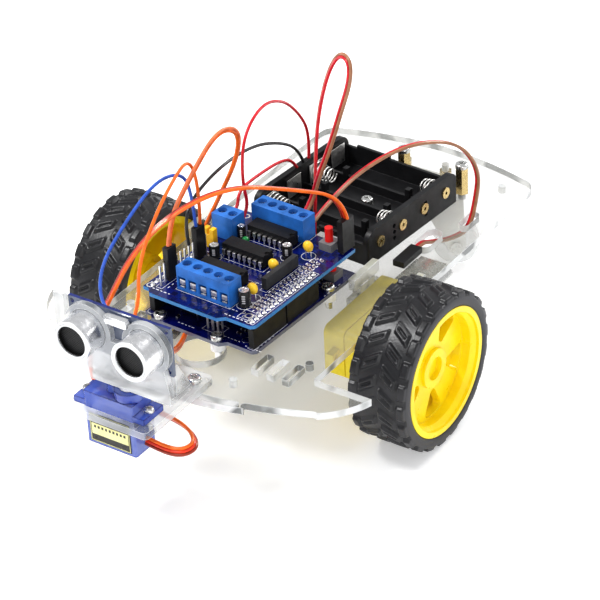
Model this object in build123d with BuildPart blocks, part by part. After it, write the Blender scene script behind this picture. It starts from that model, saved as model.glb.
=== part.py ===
"""Two wheel robot car on a clear acrylic deck: every piece in millimetres.

Frame: +Z up with the ground at Z = 0, the front of the car faces -Y,
+X is the car's left, and X = 0 is its middle plane.
"""
import os
from math import cos, pi, radians, sin, tan

from build123d import *

# ---- overall layout ----
AXLE_Y = -7.4            # wheel axle line
DECK_Z = 44.0            # underside of the deck plate
DECK_T = 3.0
DECK_TOP = DECK_Z + DECK_T
TYRE_R = 32.7
AXLE_Z = TYRE_R
WHEEL_IN = 54.0          # inner face of a wheel
MOTOR_IN = 30.55         # inner face of a gearbox
MOTOR_OUT = 49.0
BOARD_AT = (-0.7, -14.0)
BOARD_YAW = -2.8
BOARD_Z = 50.0           # underside of the controller board
SHIELD_Z = 61.4          # underside of the motor shield
PCB_T = 1.6
BOX_AT = (-1.5, 63.2)
BOX_YAW = -4.2
BOX_X, BOX_Y, BOX_H = 58.5, 62.0, 15.0
CASTER_AT = (0.0, 108.0)
CASTER_YAW = 32.0
CASTER_R = 10.0
SERVO_X, SERVO_Y = -0.9, -100.0
HEAD_X = 5.0             # servo output axis and middle of the sensor head
SERVO_Z = 34.0           # underside of the servo case
GAP = 0.3


def yawed(x, y, yaw):
    """Level plane at a point of the car, turned about Z."""
    a = radians(yaw)
    return Plane((x, y + AXLE_Y, 0), x_dir=(cos(a), sin(a), 0), z_dir=(0, 0, 1))


CAR = Plane((0, AXLE_Y, 0))
BOARD = yawed(*BOARD_AT, BOARD_YAW)
BOX = yawed(*BOX_AT, BOX_YAW)
CASTER = yawed(*CASTER_AT, CASTER_YAW)
SERVO = yawed(SERVO_X, SERVO_Y, 0)
HEAD = yawed(HEAD_X, SERVO_Y, 0)


def side(x):
    """Plane facing +X at x: its own X is the car's Y from the axle, its Y is height."""
    return Plane((x, AXLE_Y, 0), x_dir=(0, 1, 0), z_dir=(1, 0, 0))


def front(y, x=0.0):
    """Plane facing -Y at y from the axle: its own X is the car's X, its Y is height."""
    return Plane((x, AXLE_Y + y, 0), x_dir=(1, 0, 0), z_dir=(0, -1, 0))


os.makedirs("parts", exist_ok=True)
DONE = []


def save(part, label):
    """Label a piece and write its STEP file."""
    part.label = label
    export_step(part, f"parts/{label}.step")
    DONE.append((label, part))


def mirrored(part):
    """The same piece on the other side of the car."""
    return mirror(part, about=Plane.YZ)


# ---------------------------------------------------------------- deck plate
FAN_C, FAN_R = 83.0, 153.5          # centre and radius of the curved slots
SLOT_W = 3.2
BRACKET_SLOTS_X = (29.05, 50.55)
CASTER_HOLES = [(sx * 10.0, CASTER_AT[1] + sy * 8.0) for sx in (-1, 1) for sy in (-1, 1)]
HOLDER_HOLES = [(-14.0, -73.0), (14.0, -73.0)]
STANDOFF_AT = [(0.0, 99.0), (28.0, 99.2)]
DECK_HOLES = [(42.2, -38.2), (23.3, -61.5), (40.0, 112.0)]
WIRE_SLOTS = [(2.0, 27.0, 6.4, 6.41), (35.0, 60.8, 7.0, 15.0)]   # x, y, width, length

with BuildPart() as deck:
    with BuildSketch(CAR.offset(DECK_Z)):
        with BuildLine():
            ThreePointArc((0, -79.5), (31, -76.6), (57, -67.2))
            ThreePointArc((57, -67.2), (70.2, -56.2), (75, -46.4))
            Polyline((75, -46.4), (49.7, -46.4), (50.4, 0), (52.2, 45), (52.2, 113.5))
            ThreePointArc((52.2, 113.5), (50.2, 118.6), (45.0, 121.2))
            ThreePointArc((45.0, 121.2), (23, 126.6), (0, 129.1))
            mirror(about=Plane.YZ)
        make_face()
    extrude(amount=DECK_T)
    with BuildSketch(CAR.offset(DECK_Z)):
        with Locations((0, -50)):
            Circle(10)
        for sign in (1, -1):
            for start, size in ((5.2, 7.2), (13.9, 9.6)):
                first = -90 + start if sign > 0 else -90 - start - size
                SlotArc(CenterArc((0, FAN_C), FAN_R, first, size), SLOT_W)
            with Locations(*[(sign * x, -46.6) for x in (26.5, 33.5, 40.5)]):
                Rectangle(SLOT_W, 11)
            with Locations((sign * BRACKET_SLOTS_X[0], 21)):
                Rectangle(3.2, 10.4)
            with Locations((sign * (BRACKET_SLOTS_X[1] + 2), 21)):
                Rectangle(7.2, 10.4)
            with Locations((sign * 41.5, 82)):
                SlotOverall(12, 4.4, rotation=90)
            with Locations(*[(sign * x, y) for x, y in DECK_HOLES]):
                Circle(1.6)
        with Locations(*CASTER_HOLES, *HOLDER_HOLES, *STANDOFF_AT):
            Circle(1.6)
        for x, y, width, length in WIRE_SLOTS:
            with Locations((x, y)):
                SlotOverall(length, width, rotation=90)
    extrude(amount=DECK_T, mode=Mode.SUBTRACT)
save(deck.part, "deck_plate")

# -------------------------------------------------- motors and their brackets
BOLT_YZ = [(20.0, AXLE_Z + 8.7), (20.0, AXLE_Z - 8.7)]

with BuildPart() as brackets:
    for x in (BRACKET_SLOTS_X[0] - 1.45, BRACKET_SLOTS_X[1] - 1.45):
        with BuildSketch(side(x)):
            with BuildLine():
                Polyline(
                    (10, AXLE_Z - 12.5), (30, AXLE_Z - 12.5), (30, DECK_Z - 0.05), (26, DECK_Z - 0.05),
                    (26, DECK_TOP + 0.05), (30, DECK_TOP + 0.05), (30, DECK_TOP + 5), (12, DECK_TOP + 5),
                    (12, DECK_TOP + 0.05), (16, DECK_TOP + 0.05), (16, DECK_Z - 0.05), (10, DECK_Z - 0.05),
                    close=True,
                )
            make_face()
            with Locations(*BOLT_YZ):
                Circle(1.6, mode=Mode.SUBTRACT)
        extrude(amount=2.9)
left_brackets = brackets.part
save(Compound(children=[*left_brackets.solids(), *mirrored(left_brackets).solids()]), "motor_brackets")

with BuildPart() as gearbox:
    with BuildSketch(side(MOTOR_IN)):
        with Locations((11.5, AXLE_Z)):
            RectangleRounded(45, 22.4, 3)
    extrude(amount=MOTOR_OUT - MOTOR_IN)
    with BuildSketch(side(MOTOR_IN + 4)):
        with BuildLine():
            Polyline(
                (-10.6, AXLE_Z - 3), (-15.5, AXLE_Z - 2.4), (-15.5, AXLE_Z + 2.4), (-10.6, AXLE_Z + 3), close=True,
            )
        make_face()
        with Locations((-13, AXLE_Z)):
            Circle(1.3, mode=Mode.SUBTRACT)
    extrude(amount=3)
    with BuildSketch(side(MOTOR_OUT - 0.1)):
        with Locations((0, AXLE_Z)):
            Circle(5.2)
    extrude(amount=1.7)
    with BuildSketch(side(MOTOR_IN)):
        with Locations(*BOLT_YZ):
            Circle(1.6)
    extrude(amount=MOTOR_OUT - MOTOR_IN, mode=Mode.SUBTRACT)
    with BuildSketch(side(MOTOR_IN + 12)):
        with Locations((0, AXLE_Z)):
            Circle(2.75)
    extrude(amount=10, mode=Mode.SUBTRACT)
    with BuildSketch(side(MOTOR_IN + 9.2)):
        with Locations((11.5, AXLE_Z)):
            RectangleRounded(45.2, 22.6, 3.1)
            RectangleRounded(44.2, 21.6, 2.6, mode=Mode.SUBTRACT)
    extrude(amount=0.4, mode=Mode.SUBTRACT)
    with BuildSketch(Plane.XZ.offset(-(AXLE_Y + 28.0))):
        with Locations(((MOTOR_IN + MOTOR_OUT) / 2, AXLE_Z)):
            Circle(6)
    extrude(amount=-6.2, mode=Mode.SUBTRACT)
save(gearbox.part, "left_gearbox")
save(mirrored(gearbox.part), "right_gearbox")

MOTOR_MID = (MOTOR_IN + MOTOR_OUT) / 2
with BuildPart() as motor:
    with BuildSketch(front(34.05)):
        with Locations((MOTOR_MID, AXLE_Z)):
            Circle(10.0)
            Rectangle(20.2, 15.2, mode=Mode.INTERSECT)
    extrude(amount=-20)
    with BuildSketch(front(54.05)):
        with Locations((MOTOR_MID, AXLE_Z)):
            Circle(9.6)
            Rectangle(19.4, 14.8, mode=Mode.INTERSECT)
    extrude(amount=-3)
    with BuildSketch(front(57.05)):
        with Locations((MOTOR_MID, AXLE_Z)):
            Circle(4)
    extrude(amount=-2.4)
save(Compound(children=[*motor.part.solids(), *mirrored(motor.part).solids()]), "motor_cans")

with BuildPart() as bolts:
    for y, z in BOLT_YZ:
        with BuildSketch(side(BRACKET_SLOTS_X[0] - 1.45 - 2.3)):
            with Locations((y, z)):
                Circle(2.5)
        extrude(amount=2.2)
        with BuildSketch(side(BRACKET_SLOTS_X[0] - 1.45 - 0.2)):
            with Locations((y, z)):
                Circle(1.5)
        extrude(amount=25.0)
save(Compound(children=[*bolts.part.solids(), *mirrored(bolts.part).solids()]), "motor_bolts")

# ------------------------------------------------------------------- wheels
HUB_IN = MOTOR_OUT + 1.6 + GAP      # start of the hub, clear of the gearbox boss
SPOKES = 5
WINDOW = [(10.4, -1.3), (20.9, -6.4), (21.9, 0.0), (20.9, 6.4), (10.4, 1.3)]   # opening between spokes

with BuildPart() as shaft:
    with BuildSketch(side(MOTOR_IN + 12.3)):
        with Locations((0, AXLE_Z)):
            Circle(2.7)
    extrude(amount=MOTOR_OUT + 9.0 - MOTOR_IN - 12.3)
save(shaft.part, "left_shaft")
save(mirrored(shaft.part), "right_shaft")

with BuildPart() as rim:
    with BuildSketch(Plane((WHEEL_IN, AXLE_Y, AXLE_Z), x_dir=(1, 0, 0), z_dir=(0, -1, 0))):
        with BuildLine():
            Polyline(
                (0.6, 23.4), (0.6, 26.6), (3.0, 26.6), (4.4, 25.2), (21.6, 25.2), (23.0, 26.6), (25.6, 26.6),
                (25.6, 24.2), (24.4, 24.2), (22.6, 22.6), (3.4, 22.6), (2.0, 23.4), close=True,
            )
        make_face()
    revolve(axis=Axis((WHEEL_IN, AXLE_Y, AXLE_Z), (1, 0, 0)))
    with BuildSketch(side(WHEEL_IN + 15.5)):
        with Locations((0, AXLE_Z)):
            Circle(22.8)
    extrude(amount=3.4)
    with BuildSketch(side(WHEEL_IN + 8.0)):
        with Locations((0, AXLE_Z)):
            Circle(8.2)
    extrude(amount=12.4)
    with BuildSketch(side(HUB_IN)):
        with Locations((0, AXLE_Z)):
            Circle(5.4)
    extrude(amount=WHEEL_IN + 8.2 - HUB_IN)
    with BuildSketch(side(WHEEL_IN + 15.0)) as windows:
        for k in range(SPOKES):
            with Locations(Location((0, AXLE_Z), 126 + 360 / SPOKES * k)):
                Polygon(*WINDOW, align=None)
        fillet(windows.vertices(), 1.8)
    extrude(amount=5.0, mode=Mode.SUBTRACT)
    with BuildSketch(side(WHEEL_IN + 18.2)):
        with Locations((0, AXLE_Z)):
            Circle(4.8)
    extrude(amount=3.0, mode=Mode.SUBTRACT)
    with BuildSketch(side(HUB_IN - 1.0)):
        with Locations((0, AXLE_Z)):
            Circle(2.75)
    extrude(amount=22.0, mode=Mode.SUBTRACT)
save(rim.part, "left_rim")
save(mirrored(rim.part), "right_rim")

TREADS = 22
LUG, SKEW = 2.9, 3.3            # half length of a lug and how far it leans
LUG_TOP = (TYRE_R ** 2 - (LUG + SKEW) ** 2) ** 0.5
with BuildPart() as tyre:
    with BuildSketch(Plane((WHEEL_IN, AXLE_Y, AXLE_Z), x_dir=(1, 0, 0), z_dir=(0, -1, 0))):
        with BuildLine():
            Polyline(
                (0.3, 26.65), (3.1, 26.65), (4.5, 25.25), (21.5, 25.25), (22.9, 26.65), (25.7, 26.65),
                (26.0, 28.8), (24.6, 30.2), (21.0, 30.9), (5.0, 30.9), (1.4, 30.2), (0.0, 28.8), close=True,
            )
        make_face()
    revolve(axis=Axis((WHEEL_IN, AXLE_Y, AXLE_Z), (1, 0, 0)))
    pitch = 360 / TREADS
    for k in range(TREADS):
        for x0, x1, skew, turn in ((2.2, 12.4, 1.0, 0.0), (13.6, 23.8, -1.0, 0.5)):
            a = radians(pitch * (k + turn))
            block = Plane(
                (WHEEL_IN + 13.0, AXLE_Y - sin(a) * 30.2, AXLE_Z + cos(a) * 30.2),
                x_dir=(1, 0, 0), z_dir=(0, -sin(a), cos(a)),
            )
            near, far = x0 - 13.0, x1 - 13.0
            rise = SKEW * skew
            with BuildSketch(block):
                with BuildLine():
                    Polyline(
                        (near, -LUG - rise), (far, -LUG + rise), (far, LUG + rise), (near, LUG - rise),
                        close=True,
                    )
                make_face()
            extrude(amount=LUG_TOP - 30.2)
        for x0, x1, turn in ((0.25, 4.6, 0.42), (21.4, 25.75, 0.92)):
            a = radians(pitch * (k + turn))
            block = Plane(
                (WHEEL_IN + (x0 + x1) / 2, AXLE_Y - sin(a) * 28.4, AXLE_Z + cos(a) * 28.4),
                x_dir=(1, 0, 0), z_dir=(0, -sin(a), cos(a)),
            )
            with BuildSketch(block):
                Rectangle(x1 - x0, 4.6)
            extrude(amount=TYRE_R - 28.4 - 0.45)
save(tyre.part, "left_tyre")
save(mirrored(tyre.part), "right_tyre")

# ------------------------------------------------------------------- caster
CASTER_TOP = 39.0                   # underside of the spacers' plate
TRAIL = 17.0
with BuildPart() as spacers:
    for x, y in CASTER_HOLES:
        with BuildSketch(CAR.offset(CASTER_TOP)):
            with Locations((x, y)):
                RegularPolygon(2.9, 6)
        extrude(amount=DECK_Z - CASTER_TOP)
    for (x, y) in STANDOFF_AT:
        with BuildSketch(CAR.offset(DECK_TOP)):
            with Locations((x, y)):
                RegularPolygon(2.9, 6)
        extrude(amount=12.0)
save(spacers.part, "brass_standoffs")

with BuildPart() as caster_base:
    with BuildSketch(CAR.offset(CASTER_TOP - 2.0)):
        with Locations(CASTER_AT):
            RectangleRounded(28, 24, 4)
    extrude(amount=2.0)
    with BuildSketch(CAR.offset(CASTER_TOP - 5.0)):
        with Locations(CASTER_AT):
            Circle(8)
    extrude(amount=3.1)
save(caster_base.part, "caster_base")

FORK_IN = 4.2
with BuildPart() as fork:
    with BuildSketch(CASTER.offset(CASTER_TOP - 8.3)):
        Circle(8)
        with Locations((TRAIL / 2, 0)):
            Rectangle(TRAIL, 2 * FORK_IN + 4)
    extrude(amount=3.0)
    for sign in (1, -1):
        y0 = sign * (FORK_IN + 1.0)
        cheek = Plane(
            CASTER.from_local_coords((0, y0, 0)), x_dir=CASTER.x_dir, z_dir=CASTER.y_dir * -1,
        )
        with BuildSketch(cheek):
            with BuildLine():
                Polyline(
                    (3, CASTER_TOP - 5.3), (3, CASTER_TOP - 9), (TRAIL - 4, CASTER_R), (TRAIL + 4, CASTER_R),
                    (TRAIL + 3, CASTER_TOP - 5.3), close=True,
                )
            make_face()
            with Locations((TRAIL, CASTER_R)):
                Circle(4)
                Circle(1.5, mode=Mode.SUBTRACT)
        extrude(amount=1.0, both=True)
save(fork.part, "caster_fork")

roll = Plane(
    CASTER.from_local_coords((TRAIL, 0, CASTER_R)), x_dir=CASTER.x_dir, z_dir=CASTER.y_dir * -1,
)
with BuildPart() as caster_wheel:
    with BuildSketch(roll):
        Circle(CASTER_R)
        Circle(1.55, mode=Mode.SUBTRACT)
    extrude(amount=3.7, both=True)
    fillet(caster_wheel.edges().filter_by(GeomType.CIRCLE).sort_by(SortBy.RADIUS)[-2:], 1.0)
    with BuildSketch(roll.offset(3.7), roll.offset(-4.7)):
        Circle(8.2)
        Circle(5.4, mode=Mode.SUBTRACT)
    extrude(amount=1.0, mode=Mode.SUBTRACT)
save(caster_wheel.part, "caster_wheel")

with BuildPart() as axle:
    with BuildSketch(roll.offset(-FORK_IN - 2.9)):
        Circle(1.5)
    extrude(amount=2 * FORK_IN + 5.8)
    with BuildSketch(roll.offset(FORK_IN + 2.0), roll.offset(-FORK_IN - 2.9)):
        Circle(2.6)
    extrude(amount=0.9)
save(axle.part, "caster_axle")

# -------------------------------------------------------------- battery box
BAYS = 4
BAY_P = 15.1
BOX_FLOOR = 1.6
END_R = 5.5                         # round top corners of the end walls
SIDE_H = 9.6                        # height of the two long walls
with BuildPart() as box:
    with BuildSketch(BOX.offset(DECK_TOP)):
        Rectangle(BOX_X, BOX_Y)
    extrude(amount=BOX_H)
    fillet(box.edges().filter_by(Axis.Z), 1.0)
    with BuildSketch(BOX.offset(DECK_TOP + SIDE_H)):
        Rectangle(BOX_X - 5.0, BOX_Y + 2)
    extrude(amount=BOX_H, mode=Mode.SUBTRACT)
    with BuildSketch(Plane(BOX.from_local_coords((-BOX_X, 0, DECK_TOP)), x_dir=BOX.y_dir, z_dir=BOX.x_dir)):
        for sign in (1, -1):
            with Locations((sign * (BOX_Y / 2 - END_R / 2 + 1), BOX_H - END_R / 2 + 1)):
                Rectangle(END_R + 2, END_R + 2)
            with Locations((sign * (BOX_Y / 2 - END_R), BOX_H - END_R)):
                Circle(END_R, mode=Mode.SUBTRACT)
    extrude(amount=2 * BOX_X, mode=Mode.SUBTRACT)
    with BuildSketch(BOX.offset(DECK_TOP + BOX_FLOOR)):
        Rectangle(BOX_X - 5.0, BOX_Y - 2.4)
    extrude(amount=BOX_H, mode=Mode.SUBTRACT)
    for sign, u in ((1, -13.0), (-1, 13.0)):
        with BuildSketch(BOX.offset(DECK_TOP + SIDE_H - 0.2)):
            with Locations((u, sign * (BOX_Y / 2 - 0.6))):
                Rectangle(17.0, 1.2)
        extrude(amount=1.6)
    for k in (-1, 0, 1):
        with BuildSketch(BOX.offset(DECK_TOP + BOX_FLOOR)):
            with Locations((0, k * BAY_P)):
                Rectangle(BOX_X - 4.8, 1.3)
        extrude(amount=4.2)
    for sign in (1, -1):
        with BuildSketch(BOX.offset(DECK_TOP + BOX_FLOOR)):
            with Locations(*[(sign * 16.0, k * BAY_P) for k in (-1, 0, 1)]):
                Rectangle(2.2, 2.4)
        extrude(amount=7.8)
    end = Plane(BOX.from_local_coords((BOX_X / 2 - 2.6, 0, DECK_TOP)), x_dir=BOX.y_dir, z_dir=BOX.x_dir)
    with BuildSketch(end):
        for k in range(BAYS):
            with Locations(((k - 1.5) * BAY_P, 8.0)):
                Circle(1.55)
        with Locations((8.6, 7.4)):
            Rectangle(2.0, 7.0)
        with Locations(*[(-13.2, z) for z in (4.6, 7.4, 10.2)]):
            Circle(1.0)
    extrude(amount=3.0, mode=Mode.SUBTRACT)
    with BuildSketch(end.offset(2.1)):
        for k in range(BAYS):
            with Locations(((k - 1.5) * BAY_P, 8.0)):
                SlotArc(CenterArc((0, 0), 4.2, -75, 120), 1.0)
    extrude(amount=1.0, mode=Mode.SUBTRACT)
    other = Plane(BOX.from_local_coords((-BOX_X / 2 + 2.6, 0, DECK_TOP)), x_dir=BOX.y_dir, z_dir=BOX.x_dir)
    with BuildSketch(other):
        for k in range(BAYS):
            with Locations(((k - 1.5) * BAY_P, 8.0)):
                Circle(1.55)
    extrude(amount=-3.0, mode=Mode.SUBTRACT)
    with BuildSketch(BOX.offset(DECK_TOP)):
        with Locations((0, BAY_P / 2), (0, -BAY_P / 2 - BAY_P)):
            Circle(1.6)
    extrude(amount=3.0, mode=Mode.SUBTRACT)
save(box.part, "battery_box")

with BuildPart() as contacts:
    for k in range(BAYS):
        y = (k - 1.5) * BAY_P
        flip = 1 if k % 2 else -1
        spring_end = Plane(
            BOX.from_local_coords((flip * (BOX_X / 2 - 2.75), y, DECK_TOP + 8.0)),
            x_dir=BOX.y_dir, z_dir=BOX.x_dir * -flip,
        )
        flat_end = Plane(
            BOX.from_local_coords((-flip * (BOX_X / 2 - 2.75), y, DECK_TOP + 8.0)),
            x_dir=BOX.y_dir, z_dir=BOX.x_dir * flip,
        )
        with BuildSketch(spring_end, flat_end):
            Rectangle(9.0, 8.6)
        extrude(amount=0.5)
        with BuildSketch(flat_end.offset(0.5)):
            Circle(2.2)
        extrude(amount=0.6)
        for ring in range(5):
            with BuildSketch(spring_end.offset(0.5 + ring * 1.25)):
                Circle(3.6 - 0.35 * ring)
                Circle(2.7 - 0.35 * ring, mode=Mode.SUBTRACT)
            extrude(amount=0.7)
        with BuildSketch(spring_end.offset(0.5)):
            with Locations((2.4, 0)):
                Rectangle(0.9, 0.9)
        extrude(amount=5.4)
save(contacts.part, "battery_contacts")

with BuildPart() as rivets:
    for sign in (1, -1):
        for k in range(BAYS):
            seat = Plane(
                BOX.from_local_coords((sign * (BOX_X / 2 - 2.7), (k - 1.5) * BAY_P, DECK_TOP + 8.0)),
                x_dir=BOX.y_dir, z_dir=BOX.x_dir * sign,
            )
            with BuildSketch(seat):
                Circle(1.5)
                Circle(0.7, mode=Mode.SUBTRACT)
            extrude(amount=2.9)
            with BuildSketch(seat.offset(2.72)):
                Circle(2.4)
                Circle(0.7, mode=Mode.SUBTRACT)
            extrude(amount=0.5)
save(rivets.part, "battery_rivets")

# ------------------------------------------------------- controller board
INCH = 25.4
OUTLINE = [
    (0, 0), (2.6, 0), (2.6, 0.1), (2.7, 0.2), (2.7, 1.49), (2.6, 1.59), (2.6, 2.04), (2.54, 2.1), (0, 2.1),
]
HOLES = [(0.55, 0.1), (0.6, 2.0), (2.6, 0.3), (2.6, 1.4)]


def on_board(x, y):
    """Board drawing coordinates in inches (USB end at x = 0) to the board plane in mm."""
    return (y * INCH - 26.67, 33.02 - x * INCH)


BOARD_HOLES = [on_board(x, y) for x, y in HOLES]

with BuildPart() as controller:
    with BuildSketch(BOARD.offset(BOARD_Z)):
        with BuildLine():
            Polyline(*[on_board(x, y) for x, y in OUTLINE], close=True)
        make_face()
        with Locations(*BOARD_HOLES):
            Circle(1.6, mode=Mode.SUBTRACT)
    extrude(amount=PCB_T)
save(controller.part, "controller_board")

with BuildPart() as shield:
    with BuildSketch(BOARD.offset(SHIELD_Z)):
        with BuildLine():
            Polyline(*[on_board(x, y) for x, y in OUTLINE], close=True)
        make_face()
    extrude(amount=PCB_T)
save(shield.part, "shield_board")

with BuildPart() as board_spacers:
    with BuildSketch(BOARD.offset(DECK_TOP)):
        with Locations(*BOARD_HOLES):
            Circle(3)
            Circle(1.6, mode=Mode.SUBTRACT)
    extrude(amount=BOARD_Z - DECK_TOP)
save(Compound(children=board_spacers.part.solids()), "board_spacers")

HEADER_U = 24.13                     # header rows from the board's middle line
LEFT_V = (-21.4, -0.1)               # middles of the two 8 way headers, digital side
RIGHT_V = (-23.9, -4.8)              # middles of the two 6 way headers, analog side
CTRL_TOP = BOARD_Z + PCB_T
SHIELD_TOP = SHIELD_Z + PCB_T

with BuildPart() as headers:
    for u, v, ways in ((HEADER_U, LEFT_V[0], 8), (HEADER_U, LEFT_V[1], 8),
                       (-HEADER_U, RIGHT_V[0], 6), (-HEADER_U, RIGHT_V[1], 6)):
        with BuildSketch(BOARD.offset(CTRL_TOP)):
            with Locations((u, v)):
                Rectangle(2.5, ways * 2.54)
        extrude(amount=8.5)
        with BuildSketch(BOARD.offset(CTRL_TOP + 1.0)):
            with Locations((u, v)):
                with GridLocations(0, 2.54, 1, ways):
                    Rectangle(0.8, 0.8)
        extrude(amount=8.5, mode=Mode.SUBTRACT)
save(headers.part, "controller_headers")

with BuildPart() as pins:
    for u, v, ways in ((HEADER_U, LEFT_V[0], 8), (HEADER_U, LEFT_V[1], 8),
                       (-HEADER_U, RIGHT_V[0], 6), (-HEADER_U, RIGHT_V[1], 6)):
        with BuildSketch(BOARD.offset(CTRL_TOP + 2.0)):
            with Locations((u, v)):
                with GridLocations(0, 2.54, 1, ways):
                    Rectangle(0.64, 0.64)
        extrude(amount=SHIELD_TOP + 0.6 - CTRL_TOP - 2.0)
    with BuildSketch(BOARD.offset(CTRL_TOP)):
        with Locations((4.0, -28.0)):
            with GridLocations(2.54, 2.54, 3, 2):
                Rectangle(0.64, 0.64)
    extrude(amount=8.5)
    with BuildSketch(BOARD.offset(SHIELD_TOP)):
        with Locations((-20.6, -15.4)):
            with GridLocations(0, 2.54, 1, 12):
                Rectangle(0.64, 0.64)
        with Locations((24.6, 30.0)):
            with GridLocations(0, 2.54, 1, 3):
                Rectangle(0.64, 0.64)
    extrude(amount=9.0)
save(Compound(children=pins.part.solids()), "header_pins")

with BuildPart() as usb:
    with BuildSketch(BOARD.offset(CTRL_TOP)):
        with Locations((11.4, 31.2)):
            Rectangle(12.0, 16.0)
    extrude(amount=9.2)
    usb_middle = BOARD.from_local_coords((11.4, 39.2, CTRL_TOP + 4.9))
    usb_face = Plane(usb_middle, x_dir=BOARD.x_dir * -1, z_dir=BOARD.y_dir)
    with BuildSketch(usb_face):
        Rectangle(8.8, 8.0)
    extrude(amount=-9.0, mode=Mode.SUBTRACT)
save(usb.part, "usb_socket")

with BuildPart() as jack:
    with BuildSketch(BOARD.offset(CTRL_TOP)):
        with Locations((-19.0, 27.8)):
            Rectangle(9.0, 14.0)
    extrude(amount=9.3)
    jack_middle = BOARD.from_local_coords((-19.0, 34.8, CTRL_TOP + 5.0))
    jack_face = Plane(jack_middle, x_dir=BOARD.x_dir * -1, z_dir=BOARD.y_dir)
    with BuildSketch(jack_face):
        Circle(3.1)
    extrude(amount=-9.0, mode=Mode.SUBTRACT)
save(jack.part, "power_jack")

CHIP_AT = [(-3.5, -12.6), (-4.3, 4.4), (-4.3, 20.6)]
with BuildPart() as chips:
    with BuildSketch(BOARD.offset(CTRL_TOP + 0.5)):
        with Locations((-11.5, -8.0)):
            Rectangle(7.4, 36)
    extrude(amount=3.6)
    with BuildSketch(BOARD.offset(SHIELD_TOP + 0.6)):
        with Locations(*CHIP_AT):
            Rectangle(20.0, 6.4)
    extrude(amount=5.2)
    with BuildSketch(BOARD.offset(SHIELD_TOP + 5.8)):
        with Locations(*[(u + 9.6, v) for u, v in CHIP_AT]):
            Circle(1.0)
    extrude(amount=-0.6, mode=Mode.SUBTRACT)
save(Compound(children=chips.part.solids()), "logic_chips")

with BuildPart() as chip_pins:
    for u, v in CHIP_AT:
        for sign in (1, -1):
            with BuildSketch(BOARD.offset(SHIELD_TOP)):
                with Locations((u, v + sign * 3.9)):
                    with GridLocations(2.54, 0, 8, 1):
                        Rectangle(1.2, 0.5)
            extrude(amount=3.6)
    with BuildSketch(BOARD.offset(CTRL_TOP)):
        with Locations((-11.5, -8.0)):
            with GridLocations(8.1, 2.54, 2, 14):
                Rectangle(0.5, 1.2)
    extrude(amount=2.6)
save(Compound(children=chip_pins.part.solids()), "chip_pins")

# ----------------------------------------------------------- shield fittings
TERM_P = 5.08
TERM_H = 10.4


def terminal_cells(blocks):
    """Centre of every way of the screw terminals, with the way its wire port faces."""
    cells = []
    for u, v, ways, turn in blocks:
        for k in range(ways):
            step = (k - (ways - 1) / 2) * TERM_P
            a = radians(turn)
            cells.append((u + step * cos(a), v + step * sin(a), turn))
    return cells


TERMINALS = [(-1.4, -23.5, 5, 0), (-5.2, 29.0, 5, 180), (-21.9, 15.0, 2, 180)]

with BuildPart() as terminals:
    for u, v, ways, turn in TERMINALS:
        with BuildSketch(BOARD.offset(SHIELD_TOP)):
            with Locations(Location((u, v), turn)):
                Rectangle(ways * TERM_P, 8.0)
        extrude(amount=TERM_H)
    for u, v, turn in terminal_cells(TERMINALS):
        with BuildSketch(BOARD.offset(SHIELD_TOP + TERM_H)):
            with Locations((u, v)):
                Circle(1.9)
        extrude(amount=-4.0, mode=Mode.SUBTRACT)
        face_dir = BOARD.y_dir * (-1 if turn == 0 else 1)
        port = Plane(
            BOARD.from_local_coords((u, v + (-4.0 if turn == 0 else 4.0), SHIELD_TOP + 3.6)),
            x_dir=BOARD.x_dir * (1 if turn == 0 else -1), z_dir=face_dir,
        )
        with BuildSketch(port):
            Rectangle(3.6, 4.6)
        extrude(amount=-5.5, mode=Mode.SUBTRACT)
save(Compound(children=terminals.part.solids()), "terminal_blocks")

with BuildPart() as terminal_screws:
    for u, v, turn in terminal_cells(TERMINALS):
        with BuildSketch(BOARD.offset(SHIELD_TOP + TERM_H - 4.0)):
            with Locations((u, v)):
                Circle(1.8)
        extrude(amount=2.4)
        with BuildSketch(BOARD.offset(SHIELD_TOP + TERM_H - 1.6)):
            with Locations((u, v)):
                Rectangle(3.8, 0.6)
        extrude(amount=-0.7, mode=Mode.SUBTRACT)
save(Compound(children=terminal_screws.part.solids()), "terminal_screws")

BEADS = [(14.6, 18.6), (11.1, 0.8), (14.7, -17.2)]
with BuildPart() as beads:
    for u, v in BEADS:
        with BuildSketch(BOARD.offset(SHIELD_TOP)):
            with Locations((u - 1.27, v), (u + 1.27, v)):
                Circle(0.3)
        extrude(amount=3.2)
        with Locations(BOARD * Location((u, v, SHIELD_TOP + 4.6))):
            Sphere(2.3)
save(beads.part, "bead_capacitors")

CANS = [(-15.1, 14.6, 1.7, 6.5), (8.2, 13.4, 2.2, 6.0), (-15.9, -1.9, 2.2, 6.0), (14.9, -22.7, 2.5, 7.0)]
with BuildPart() as electrolytics:
    for u, v, r, h in CANS:
        with BuildSketch(BOARD.offset(SHIELD_TOP)):
            with Locations((u, v)):
                Circle(r)
        extrude(amount=h)
save(Compound(children=electrolytics.part.solids()), "can_capacitors")

with BuildPart() as network:
    with BuildSketch(BOARD.offset(SHIELD_TOP + 0.4)):
        with Locations((14.8, 0)):
            Rectangle(2.2, 20.6)
    extrude(amount=5.0)
    with BuildSketch(BOARD.offset(SHIELD_TOP)):
        with Locations((14.8, 0)):
            with GridLocations(0, 2.54, 1, 8):
                Rectangle(0.5, 0.5)
    extrude(amount=0.5)
save(network.part, "resistor_network")

with BuildPart() as led:
    with BuildSketch(BOARD.offset(SHIELD_TOP)):
        with Locations((-11.6, 12.4)):
            Circle(1.5)
    extrude(amount=3.4)
    fillet(led.faces().sort_by(Axis.Z)[-1].edges(), 1.3)
save(led.part, "status_led")

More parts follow.
